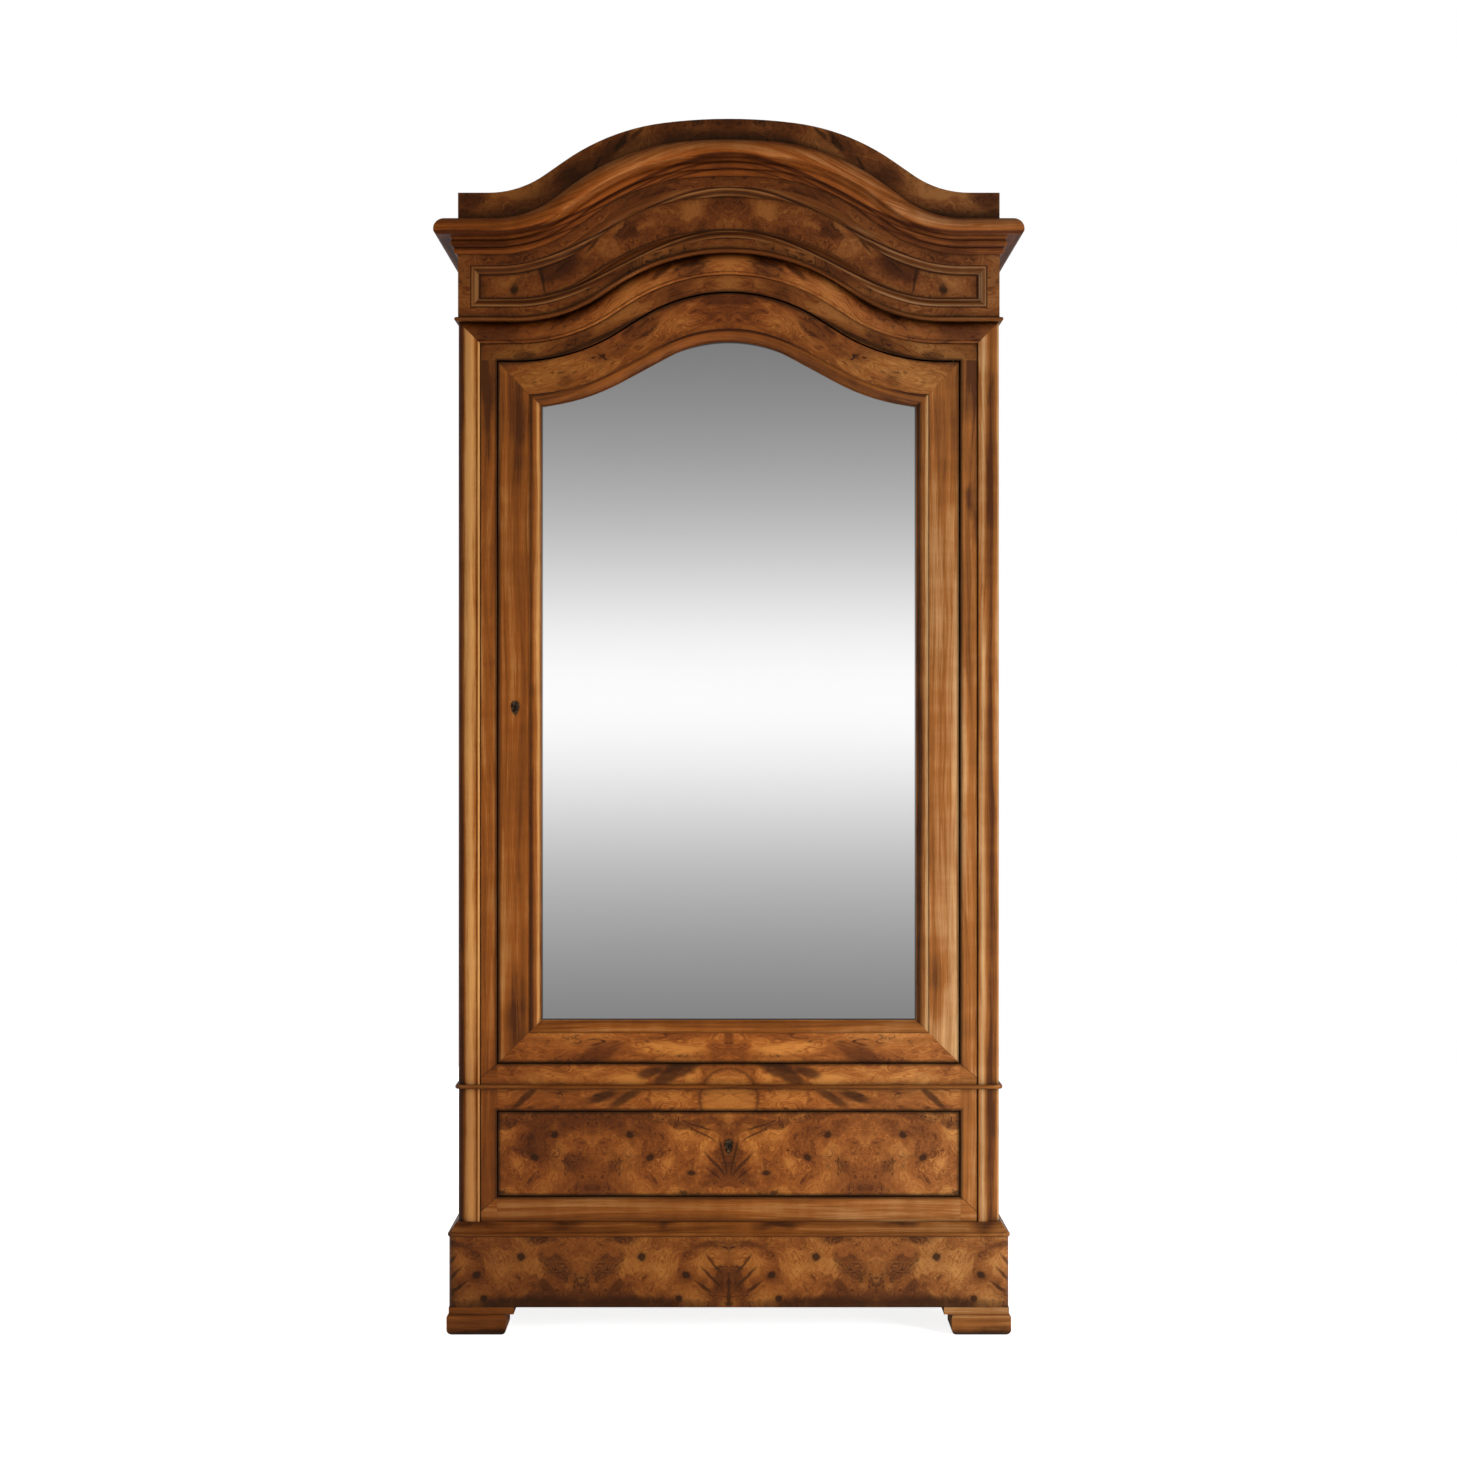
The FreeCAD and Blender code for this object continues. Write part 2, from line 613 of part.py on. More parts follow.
def bolt_slot(label, x, y, z, length, width, height, room):
    """Slot with room all round a bolt, long enough to pass through its wall."""
    return box(
        label, f"{x} - {room}", f"{y} - {room}", f"{z} - {room}",
        f"{length} + 2 * {room}", f"{width} + 2 * {room}", f"{height} + 2 * {room}",
    )


DOOR_BOLT_X = f"({DOOR_LEFT} + bolt_set)"
DOOR_BOLT_Y = f"({DOOR_FACE} + door_thickness - lock_case_depth + bolt_cover)"
DOOR_BOLT_Z = f"({KEYHOLE_Z} - bolt_height / 2)"
DRAWER_BOLT_X = "(0 - bolt_height / 2)"
DRAWER_BOLT_Y = f"({DRAWER_FRONT_BACK} - drawer_lock_depth + (drawer_lock_depth - bolt_thickness) / 2)"
DRAWER_BOLT_Z = f"({DRAWER_TOP} - bolt_set - bolt_length)"
STILE_HEIGHT = f"{DOOR_SPRING} - {PLINTH_TOP}"

left_blank = box(
    "frame_stile_left_blank", f"-{FRAME_HALF}", FRAME_FACE, PLINTH_TOP,
    "frame_board_width", "frame_thickness", STILE_HEIGHT,
)
keeper_slot = bolt_slot(
    "frame_stile_keeper", f"{DOOR_BOLT_X} - lock_gap - mortise_depth", DOOR_BOLT_Y, DOOR_BOLT_Z,
    "mortise_depth + overrun", "bolt_thickness", "bolt_height", "bolt_clearance",
)
node(cut("frame_stile_left", left_blank, [keeper_slot]))
node(box(
    "frame_stile_right", OPENING_HALF, FRAME_FACE, PLINTH_TOP,
    "frame_board_width", "frame_thickness", STILE_HEIGHT,
))
node(box(
    "rail_lower", f"-{OPENING_HALF}", FRAME_FACE, PLINTH_TOP,
    f"2 * {OPENING_HALF}", "frame_thickness", "lower_rail_height",
))


def pivot_plate(label, foot):
    """Brass plate let in round the door axis."""
    return box(
        label, f"{HINGE_X} - pivot_plate_length + hinge_inset", f"{HINGE_Y} - pivot_plate_edge", foot,
        "pivot_plate_length", "pivot_plate_width", "pivot_plate_thickness",
    )


waist_blank = box(
    "rail_waist_blank", f"-{OPENING_HALF}", FRAME_FACE, DRAWER_HEAD,
    f"2 * {OPENING_HALF}", "frame_thickness", "waist_rail_height",
)
waist_cuts = [
    bolt_slot(
        "rail_waist_keeper", DRAWER_BOLT_X, DRAWER_BOLT_Y, f"{DRAWER_HEAD} - overrun",
        "bolt_height", "bolt_thickness", "mortise_depth + overrun", "bolt_clearance",
    ),
    pivot_plate("rail_waist_recess", f"{DOOR_SILL} - pivot_plate_thickness"),
]
node(cut("rail_waist", waist_blank, waist_cuts))

arched_blank = plate(
    "rail_arched_blank",
    between(flat, door_arch, 0, door_arch, value("frame_board_width"), value(FRAME_HALF)),
    "frame_thickness", FRAME_FACE,
)
node(cut("rail_arched", arched_blank, [pivot_plate("rail_arched_recess", DOOR_SPRING)]))

# Feet.

def foot(side, end, label):
    """Block with rounded edges under a square cap."""
    half, reach, width = value(HALF), value("foot_reach"), value("foot_width")
    cap_reach, cap_width = value("plinth_reach"), value("foot_cap_width")
    x = side * (half + reach)
    y = value(FRONT) - reach if end < 0 else value(BACK)
    block = [(x, y), (x - side * width, y), (x - side * width, y - end * width), (x, y - end * width)]
    body = upright(label, outline(flat, block), "0", "foot_block_height")
    doc.recompute()
    pad = body.Tip
    eased = (("foot_round", 0), ("foot_ease", value("foot_block_height")))
    for size, height in eased:
        below = body.Tip
        names = [
            f"Edge{number}" for number, edge in enumerate(below.Shape.Edges, start=1)
            if abs(edge.BoundBox.ZMin - height) + abs(edge.BoundBox.ZMax - height) < value(size) / 2
        ]
        fillet = body.newObject("PartDesign::Fillet", f"{label}_{size}")
        fillet.Base = (below, names)
        fillet.setExpression("Radius", bound(size))
        doc.recompute()
    assert body.Tip.Shape.Volume < pad.Shape.Volume
    x = side * (half + cap_reach)
    y = value(FRONT) - cap_reach if end < 0 else value(BACK)
    cap = [
        (x, y), (x - side * cap_width, y),
        (x - side * cap_width, y - end * cap_width), (x, y - end * cap_width),
    ]
    sketch = drawn(body, label + "_cap", "XY_Plane", outline(flat, cap))
    sketch.setExpression("AttachmentOffset.Base.z", bound("foot_block_height"))
    cap_pad = body.newObject("PartDesign::Pad", label + "_cap_pad")
    cap_pad.Profile = sketch
    cap_pad.setExpression("Length", bound("foot_cap_height"))
    return body


for end, place in ((-1, "front"), (1, "rear")):
    for side, name in ((-1, "left"), (1, "right")):
        node(foot(side, end, f"foot_{place}_{name}"))

# Plinth.

def plinth_front_plan():
    """Front board of the plinth in plan, with rounded corners."""
    half, front = value(f"{HALF} + plinth_reach"), value(f"{FRONT} - plinth_reach")
    radius, thickness = value("plinth_round"), value("plinth_thickness")
    return [
        (-half, front + radius), (radius - half, front, -QUARTER_SHARE),
        (half - radius, front), (half, front + radius, -QUARTER_SHARE),
        (half, front + thickness), (-half, front + thickness),
    ]


node(upright("plinth_front", outline(flat, plinth_front_plan()), PLINTH_FOOT, "plinth_height"))
PLINTH_BEHIND = f"({FRONT} - plinth_reach + plinth_thickness)"
PLINTH_HALF = f"({HALF} + plinth_reach)"
for x, name in ((f"-{PLINTH_HALF}", "left"), (f"{PLINTH_HALF} - plinth_thickness", "right")):
    node(box(
        f"plinth_{name}", x, PLINTH_BEHIND, PLINTH_FOOT,
        "plinth_thickness", f"{BACK} - {PLINTH_BEHIND}", "plinth_height",
    ))
node(box(
    "plinth_rear", f"plinth_thickness - {PLINTH_HALF}", f"{BACK} - plinth_thickness", PLINTH_FOOT,
    f"2 * ({PLINTH_HALF} - plinth_thickness)", "plinth_thickness", "plinth_height",
))

# Sides: rails between the posts, and sunk panels.

SIDE_FRONT = f"({FRONT} + post_depth)"
SIDE_LENGTH = "(body_depth - post_depth - rear_post_depth)"
UPPER_RAIL_FOOT = f"({NECK} - side_upper_rail_height)"
side_rows = (
    ("lower", PLINTH_TOP, "lower_rail_height"),
    ("middle", DRAWER_HEAD, "waist_rail_height"),
    ("upper", UPPER_RAIL_FOOT, "side_upper_rail_height"),
)
panel_rows = (
    ("lower", DRAWER_SILL, "drawer_opening_height"),
    ("upper", DOOR_SILL, f"{UPPER_RAIL_FOOT} - {DOOR_SILL}"),
)
side_boards = []
side_panels = []
for name, rail_x, panel_x in (
    ("left", f"-{HALF}", f"side_panel_recess - {HALF}"),
    ("right", SIDE_INNER_HALF, f"{HALF} - side_panel_recess - side_panel_thickness"),
):
    for part, foot_z, height in side_rows:
        side_boards.append(box(
            f"side_rail_{part}_{name}", rail_x, SIDE_FRONT, foot_z,
            "side_rail_thickness", SIDE_LENGTH, height,
        ))
    for part, foot_z, height in panel_rows:
        side_panels.append(box(
            f"side_panel_{part}_{name}", panel_x, SIDE_FRONT, foot_z,
            "side_panel_thickness", SIDE_LENGTH, height,
        ))
node(group("side_rails", side_boards))
node(group("side_panels", side_panels))

# Mouldings planted round the carcase at the plinth and at the waist.

doc.recompute()
carcase_faces = [post.Shape for post in posts]
carcase_faces += [board.Shape for board in side_boards]
carcase_faces += [doc.getObject(name).Shape for name in (
    "frame_stile_left", "frame_stile_right", "rail_lower", "rail_waist",
)]


def planted(foot, steps, reach, radius):
    """Moulding on three sides, rounded at the front corners and fitted to the carcase."""
    rounded = prism(outline(flat, rounded_plan(reach, radius)), Vector(0, 0, value(CREST_SPRING)))
    runs = mitred(straight_front(foot, value(HALF) + reach, steps), foot, steps)
    return Part.Compound([run.common(rounded).cut(carcase_faces) for run in runs])


def base_moulding_steps():
    """Ogee-like moulding: a half-round nose below a straight slope."""
    reach, height = value("base_moulding_reach"), value("base_moulding_height")
    nose, top = value("base_moulding_nose"), value("base_moulding_top_reach")
    seat = value("moulding_seat")
    return [
        (-seat, 0), (reach - nose / 2, 0), (reach - nose / 2, nose, -HALF_ROUND_SHARE),
        (top, height), (-seat, height),
    ]


def bead_steps(seat):
    """Half-round bead with a small flat at its root."""
    reach, height, flat_root = value("bead_reach"), value("bead_height"), value("bead_fillet")
    bulge_share = (reach - flat_root) / height
    return [(-seat, 0), (flat_root, 0), (flat_root, height, -bulge_share), (-seat, height)]


node(feature("plinth_moulding", planted(
    value(PLINTH_TOP), base_moulding_steps(), value("base_moulding_reach"), value("base_moulding_round"),
)))
node(feature("waist_bead", planted(
    value(f"{DOOR_SILL} - waist_bead_drop"), bead_steps(value("moulding_seat")),
    value("bead_reach"), value("waist_bead_round"),
)))
neck_steps = bead_steps(0)
neck_front = swept(door_arch, neck_offset, value(f"{HALF} + bead_reach"), neck_steps)
node(feature("neck_bead", Part.Compound(list(mitred(neck_front, value(NECK), neck_steps)))))

# Frieze with its sunk panel.

panel_low = value("frame_board_width + post_width + frieze_panel_lift")
panel_high = -value("frieze_panel_drop")
panel_half = value(f"{HALF} - frieze_panel_margin")
panel_opening = between(flat, door_arch, panel_low, cornice_arch, panel_high, panel_half)
frieze_outline = between(
    flat, door_arch, neck_offset, cornice_arch, value("cornice_soffit_height"), value(HALF),
)
node(plate("frieze_board", frieze_outline + panel_opening, "frieze_thickness", FRONT))
node(plate("frieze_panel", panel_opening, "frieze_panel_thickness", f"{FRONT} + frieze_panel_recess"))


def mitre_zone(corner, width):
    """Block that reaches as far before and behind the carcase's front as the moulding is wide."""
    front = value(FRONT)
    return prism(outline(lambda x, z: Vector(x, front - width, z), corner), Vector(0, 2 * width, 0))


def frieze_moulding():
    """Four mitred stretches round the frieze panel."""
    width, step = value("frieze_moulding_width"), value("frieze_moulding_step")
    seat, front = -value("frieze_panel_recess"), value(FRONT)
    lip = seat + value("frieze_moulding_lip")
    across = [(seat, 0), (0, 0), (0, step), (lip, width - step, -SOFT_SHARE), (lip, width), (seat, width)]
    flipped = [(reach, -height, *(-b for b in bulge)) for reach, height, *bulge in across]
    low, high = door_arch.height(panel_low, panel_half), cornice_arch.height(panel_high, panel_half)
    lower = swept(door_arch, panel_low, panel_half, across)
    upper = swept(cornice_arch, panel_high, panel_half, flipped)
    pieces = []
    for side in (-1, 1):
        section = outline(
            lambda reach, inward: Vector(side * (panel_half - inward), front - reach, low), across,
        )
        stretch = prism(section, Vector(0, 0, high - low))
        corner = [
            (side * panel_half, low), (side * (panel_half - width), low + width),
            (side * (panel_half - width), high - width), (side * panel_half, high),
        ]
        zone = mitre_zone(corner, width)
        pieces.append(stretch.common(zone))
        lower, upper = lower.cut(zone), upper.cut(zone)
    return Part.Compound(pieces + [lower, upper])


node(feature("frieze_moulding", frieze_moulding()))
FRIEZE_SIDE_HEIGHT = f"{CORNICE_SEAT} - {NECK}"
FRIEZE_BEHIND = f"({FRONT} + frieze_thickness)"
frieze_returns = [
    box(
        f"frieze_return_{name}", x, FRIEZE_BEHIND, NECK,
        "frieze_thickness", "body_depth - frieze_thickness", FRIEZE_SIDE_HEIGHT,
    )
    for x, name in ((f"-{HALF}", "left"), (f"{HALF} - frieze_thickness", "right"))
]
frieze_returns.append(box(
    "frieze_return_rear", f"frieze_thickness - {HALF}", f"{BACK} - frieze_thickness", NECK,
    "body_width - 2 * frieze_thickness", "frieze_thickness", FRIEZE_SIDE_HEIGHT,
))
node(group("frieze_returns", frieze_returns))

# Cornice and crest.

def cornice_steps():
    """Section of the cornice: two small members, a flat underside and a rounded nose."""
    fillet = value("cornice_fillet")
    step_height, step_reach = value("cornice_step_height"), value("cornice_step_reach")
    member_height, member_reach = value("cornice_member_height"), value("cornice_member_reach")
    soffit, soffit_reach = value("cornice_soffit_height"), value("cornice_soffit_reach")
    return [
        (0, 0), (fillet, 0), (step_reach, step_height, -QUARTER_SHARE),
        (step_reach + fillet / 2, step_height), (member_reach, member_height, -QUARTER_SHARE),
        (soffit_reach, soffit, QUARTER_SHARE), (value("cornice_nose_back"), soffit),
        (value("cornice_reach"), value("cornice_nose_height"), -QUARTER_SHARE),
        (value("cornice_top_reach"), value("cornice_height"), -QUARTER_SHARE),
        (0, value("cornice_height")),
    ]


cornice_run = swept(cornice_arch, 0, value(f"{HALF} + cornice_reach"), cornice_steps())
cornice_pieces = mitred(cornice_run, value(CORNICE_FOOT), cornice_steps())
for name, shape in zip(("front", "left", "right"), cornice_pieces):
    node(feature(f"cornice_{name}", shape))

node(plate(
    "crest_board",
    between(flat, cornice_arch, value("cornice_soffit_height"), crest_arch, 0, value(HALF)),
    "frieze_thickness", FRONT,
))
node(box(
    "top_board", f"-{HALF}", FRIEZE_BEHIND, CORNICE_SEAT,
    "body_width", "body_depth - frieze_thickness", "top_board_thickness",
))


def crest_blocks():
    """Bevelled blocks that stand on the top board and hold the crest up."""
    width, depth, height = (
        value(f"crest_block_{measure}") for measure in ("width", "depth", "height")
    )
    y, z = value(FRIEZE_BEHIND), value(f"{CORNICE_SEAT} + top_board_thickness")
    steps = [(0, 0), (depth, 0), (0, height)]
    solids = []
    for place in (-1, 0, 1):
        x = place * (value(HALF) - value("crest_block_margin") - width / 2) - width / 2
        corner = outline(lambda across, up: Vector(x, y + across, z + up), steps)
        solids.append(prism(corner, Vector(width, 0, 0)))
    return Part.Compound(solids)


node(feature("crest_blocks", crest_blocks()))

# Back.

back_z = f"({PLINTH_TOP} + back_lower_rail_height)"
back_height = f"({UPPER_RAIL_FOOT} - {back_z})"
node(group("back_frame", [
    box(
        "back_rail_lower", f"-{FRAME_HALF}", BACK_INNER, PLINTH_TOP,
        f"2 * {FRAME_HALF}", "back_rail_thickness", "back_lower_rail_height",
    ),
    box(
        "back_rail_upper", f"-{FRAME_HALF}", BACK_INNER, UPPER_RAIL_FOOT,
        f"2 * {FRAME_HALF}", "back_rail_thickness", "side_upper_rail_height",
    ),
    box(
        "back_muntin", "-back_muntin_width / 2", BACK_INNER, back_z,
        "back_muntin_width", "back_rail_thickness", back_height,
    ),
]))
back_panel_width = f"{FRAME_HALF} - back_muntin_width / 2"
node(group("back_panels", [
    box(
        f"back_panel_{name}", x, f"{BACK} - back_panel_recess - back_panel_thickness", back_z,
        back_panel_width, "back_panel_thickness", back_height,
    )
    for x, name in ((f"-{FRAME_HALF}", "left"), ("back_muntin_width / 2", "right"))
]))

# Inside: floor, shelves on cleats, drawer runners.

def notched(label, y, z, thickness):
    """Board across the inside, notched round the posts."""
    blank = box(
        label + "_blank", f"-{SIDE_INNER_HALF}", y, z,
        f"2 * {SIDE_INNER_HALF}", f"{BACK_INNER} - {y}", thickness,
    )
    return cut(label, blank, posts)


node(notched("cabinet_floor", FRAME_BACK, f"{DOOR_SILL} - floor_thickness", "floor_thickness"))
SHELF_FRONT = f"({SIDE_FRONT} + shelf_clearance)"
cleats = []
for number, name in ((1, "lower"), (2, "upper")):
    top = f"({DOOR_SILL} + {number} * shelf_spacing)"
    node(notched(f"shelf_{name}", SHELF_FRONT, f"{top} - shelf_thickness", "shelf_thickness"))
    for x, side in ((f"-{SIDE_INNER_HALF}", "left"), (f"{SIDE_INNER_HALF} - cleat_width", "right")):
        cleats.append(box(
            f"shelf_cleat_{name}_{side}", x, SIDE_FRONT, f"{top} - shelf_thickness - cleat_height",
            "cleat_width", SIDE_LENGTH, "cleat_height",
        ))
node(group("shelf_cleats", cleats))

RUNNER_TOP = f"({DRAWER_FOOT} - runner_gap)"
RUNNER_LENGTH = f"{BACK_INNER} - {FRAME_BACK}"
GUIDE_WIDTH = f"({FRAME_HALF} - {DRAWER_SIDE_HALF} - guide_gap)"
runners = []
for name, runner_x, guide_x in (
    ("left", f"-{FRAME_HALF}", f"-{FRAME_HALF}"),
    ("right", f"{FRAME_HALF} - runner_width", f"{DRAWER_SIDE_HALF} + guide_gap"),
):
    runners.append(fused(f"drawer_runner_{name}", [
        box(
            f"drawer_runner_base_{name}", runner_x, FRAME_BACK, f"{RUNNER_TOP} - runner_height",
            "runner_width", RUNNER_LENGTH, "runner_height",
        ),
        box(
            f"drawer_guide_{name}", guide_x, FRAME_BACK, RUNNER_TOP,
            GUIDE_WIDTH, RUNNER_LENGTH, "guide_height",
        ),
    ]))
node(group("drawer_runners", runners))

# Pivots that carry the door, above and below.

lower_pivot = fused("pivot_frame_lower", [
    pivot_plate("pivot_frame_lower_plate", f"{DOOR_SILL} - pivot_plate_thickness"),
    cylinder("pivot_frame_lower_collar", HINGE_X, HINGE_Y, DOOR_SILL, "collar_radius", "lock_gap"),
    cylinder("pivot_frame_lower_pin", HINGE_X, HINGE_Y, DOOR_SILL, "pin_radius", "lock_gap + pin_depth"),
])
upper_pivot = fused("pivot_frame_upper", [
    pivot_plate("pivot_frame_upper_plate", DOOR_SPRING),
    cylinder(
        "pivot_frame_upper_pin", HINGE_X, HINGE_Y, f"{DOOR_TOP} - pin_depth",
        "pin_radius", "pin_depth + hinge_gap",
    ),
])
node(group("door_pivot_pins", [lower_pivot, upper_pivot]))

# Door frame, mitred at its corners.

door_left, door_right = value(DOOR_LEFT), value(DOOR_RIGHT)
door_foot, door_top = value(DOOR_FOOT), value(DOOR_TOP)
inner_half = value(f"{MIRROR_HALF} + mirror_moulding_width")
inner_foot = value(f"{MIRROR_FOOT} - mirror_moulding_width")
inner_top = mirror_arch.height(value("mirror_moulding_width"), inner_half)


def door_stile(label, outer, inner):
    steps = [(outer, door_foot), (inner, inner_foot), (inner, inner_top), (outer, door_top)]
    return plate(label, outline(flat, steps), "door_thickness", DOOR_FACE)


def door_head():
    """Outline of the arched rail: the door's own arch over the line of the mirror's."""
    top = door_arch.edges(flat, -value("hinge_gap"), value(OPENING_HALF))
    trimmed_left = Part.LineSegment(flat(door_left, door_top), top[0].EndPoint)
    trimmed_right = Part.LineSegment(top[-1].StartPoint, flat(door_right, door_top))
    bottom = mirror_arch.edges(flat, value("mirror_moulding_width"), inner_half)
    ends = chain(flat, [(door_left, door_top), (-inner_half, inner_top)])
    ends += chain(flat, [(door_right, door_top), (inner_half, inner_top)])
    return [trimmed_left] + top[1:-1] + [trimmed_right] + bottom + ends


def keyhole(label, x, z, face, depth):
    """Round hole with a slot below it, running back from a face."""
    start = f"({face} - overrun)"
    run = f"{depth} + overrun"
    hole = cylinder_back(label + "_round", x, start, z, "keyhole_radius", run)
    slot = box(
        label + "_slot", f"{x} - keyhole_slot_width / 2", start, f"{z} - keyhole_slot_length",
        "keyhole_slot_width", run, "keyhole_slot_length",
    )
    return fused(label, [hole, slot])


LOCK_X = f"({DOOR_LEFT} + lock_edge)"
LOCK_Y = f"({DOOR_FACE} + door_thickness - lock_case_depth)"
LOCK_Z = f"({KEYHOLE_Z} - lock_case_height / 2)"


def door_lock_block(label):
    return box(label, LOCK_X, LOCK_Y, LOCK_Z, "lock_case_width", "lock_case_depth", "lock_case_height")


def door_bolt_slot(label):
    return bolt_slot(
        label, f"{DOOR_BOLT_X} - overrun", DOOR_BOLT_Y, DOOR_BOLT_Z,
        "bolt_length + overrun", "bolt_thickness", "bolt_height", "bolt_clearance",
    )


node(cut("door_stile_lock", door_stile("door_stile_lock_blank", door_left, -inner_half), [
    door_lock_block("door_stile_lock_recess"),
    door_bolt_slot("door_stile_lock_slot"),
    keyhole("door_stile_keyhole", KEYHOLE_X, KEYHOLE_Z, DOOR_FACE, "door_thickness"),
]))
PIN_HOLE = "pin_radius + pin_room"
PIN_HOLE_DEPTH = "(pin_depth + overrun)"
lower_room = [
    pivot_plate("door_recess_lower", DOOR_FOOT),
    cylinder("door_hole_lower", HINGE_X, HINGE_Y, DOOR_FOOT, PIN_HOLE, PIN_HOLE_DEPTH),
]
upper_room = [
    pivot_plate("door_recess_upper", f"{DOOR_TOP} - pivot_plate_thickness"),
    cylinder(
        "door_hole_upper", HINGE_X, HINGE_Y, f"{DOOR_TOP} - {PIN_HOLE_DEPTH}", PIN_HOLE, PIN_HOLE_DEPTH,
    ),
]
hinge_blank = door_stile("door_stile_hinge_blank", door_right, inner_half)
node(cut("door_stile_hinge", hinge_blank, lower_room + upper_room))
head_blank = plate("door_rail_arched_blank", door_head(), "door_thickness", DOOR_FACE)
node(cut("door_rail_arched", head_blank, upper_room))
foot_steps = [
    (door_left, door_foot), (door_right, door_foot), (inner_half, inner_foot), (-inner_half, inner_foot),
]
foot_blank = plate("door_rail_foot_blank", outline(flat, foot_steps), "door_thickness", DOOR_FACE)
node(cut("door_rail_foot", foot_blank, lower_room))

# Mirror, its moulding and the board behind it.

def mirror_section():
    """Section of the mirror moulding, from the door frame to the glass."""
    width, depth, groove, rise, lip = (
        value(f"mirror_moulding_{measure}") for measure in ("width", "depth", "groove", "rise", "lip")
    )
    outer = -value("frame_setback + door_setback + mirror_moulding_setback")
    back = outer - depth
    return [
        (back, 0), (outer, 0), (outer, groove), (outer + rise, groove),
        (back + lip, width - lip, -SOFT_SHARE), (back + lip, width), (back, width),
    ]


def mirror_moulding():
    """Four mitred stretches round the mirror."""
    width, front = value("mirror_moulding_width"), value(FRONT)
    section = mirror_section()
    flipped = [(reach, -height, *(-b for b in bulge)) for reach, height, *bulge in section]
    upper = swept(mirror_arch, width, inner_half, flipped)
    lower = straight_front(inner_foot, inner_half, section)
    pieces = []
    sight = inner_half - width
    for side in (-1, 1):
        run = outline(
            lambda reach, inward: Vector(side * (inner_half - inward), front - reach, inner_foot), section,
        )
        stretch = prism(run, Vector(0, 0, inner_top - inner_foot))
        corner = [
            (side * inner_half, inner_foot), (side * sight, inner_foot + width),
            (side * sight, mirror_arch.height(0, sight)), (side * inner_half, inner_top),
        ]
        zone = mitre_zone(corner, width)
        pieces.append(stretch.common(zone))
        lower, upper = lower.cut(zone), upper.cut(zone)
    return Part.Compound(pieces + [lower, upper])


def pane(lap):
    """Outline of a sheet that passes the mirror's sight line by a lap."""
    half = value(MIRROR_HALF) + lap
    foot_z = value(MIRROR_FOOT) - lap
    top = mirror_arch.height(lap, half)
    frame = chain(flat, [(-half, top), (-half, foot_z), (half, foot_z), (half, top)])
    return mirror_arch.edges(flat, lap, half) + frame


node(feature("mirror_moulding", mirror_moulding()))
node(plate("mirror_glass", pane(value("mirror_lap")), "mirror_thickness", MIRROR_FACE))
node(plate(
    "mirror_backing", pane(value("mirror_moulding_width")),
    "backing_thickness", f"{MIRROR_FACE} + mirror_thickness",
))

# Door lock, its bolt and its plate.

node(cut("door_lock", door_lock_block("door_lock_blank"), [
    door_bolt_slot("door_lock_slot"),
    keyhole("door_lock_keyhole", KEYHOLE_X, KEYHOLE_Z, LOCK_Y, "bolt_cover"),
]))
node(box(
    "door_lock_bolt", DOOR_BOLT_X, DOOR_BOLT_Y, DOOR_BOLT_Z,
    "bolt_length", "bolt_thickness", "bolt_height",
))


def escutcheon(label, x, z):
    """Drop-shaped plate round a keyhole, on the face of the door or the drawer."""
    half, height = value("escutcheon_width / 2"), value("escutcheon_height")
    x_mid, z_mid = value(x), value(f"{z} - escutcheon_drop")
    foot_z, head_z = z_mid - height / 2, z_mid + height / 2
    drop = outline(flat, [
        (x_mid + half, head_z - half, -SOFT_SHARE), (x_mid, head_z, -QUARTER_SHARE),
        (x_mid - half, head_z - half, -QUARTER_SHARE), (x_mid, foot_z, -SOFT_SHARE),
    ])
    blank = plate(label + "_blank", drop, "escutcheon_thickness", f"{DOOR_FACE} - escutcheon_thickness")
    return cut(label, blank, [keyhole(label + "_keyhole", x, z, DOOR_FACE, "0")])


node(escutcheon("door_escutcheon", KEYHOLE_X, KEYHOLE_Z))


def drilled_plate(label, foot_z):
    """Pivot plate of the door, with its bearing hole."""
    hole = cylinder(
        label + "_hole", HINGE_X, HINGE_Y, f"{foot_z} - overrun",
        "pin_radius + pin_clearance", "pivot_plate_thickness + 2 * overrun",
    )
    return cut(label, pivot_plate(label + "_blank", foot_z), [hole])


node(group("door_pivot_plates", [
    drilled_plate("pivot_door_lower", DOOR_FOOT),
    drilled_plate("pivot_door_upper", f"{DOOR_TOP} - pivot_plate_thickness"),
]))

# Drawer.

DRAWER_LOCK_Y = f"({DRAWER_FRONT_BACK} - drawer_lock_depth)"


def drawer_lock_block(label):
    return box(
        label, "-drawer_lock_width / 2", DRAWER_LOCK_Y, f"{DRAWER_TOP} - bolt_set - drawer_lock_height",
        "drawer_lock_width", "drawer_lock_depth", "drawer_lock_height",
    )


def drawer_bolt_slot(label):
    return bolt_slot(
        label, DRAWER_BOLT_X, DRAWER_BOLT_Y, DRAWER_BOLT_Z,
        "bolt_height", "bolt_thickness", "bolt_length + overrun", "bolt_clearance",
    )


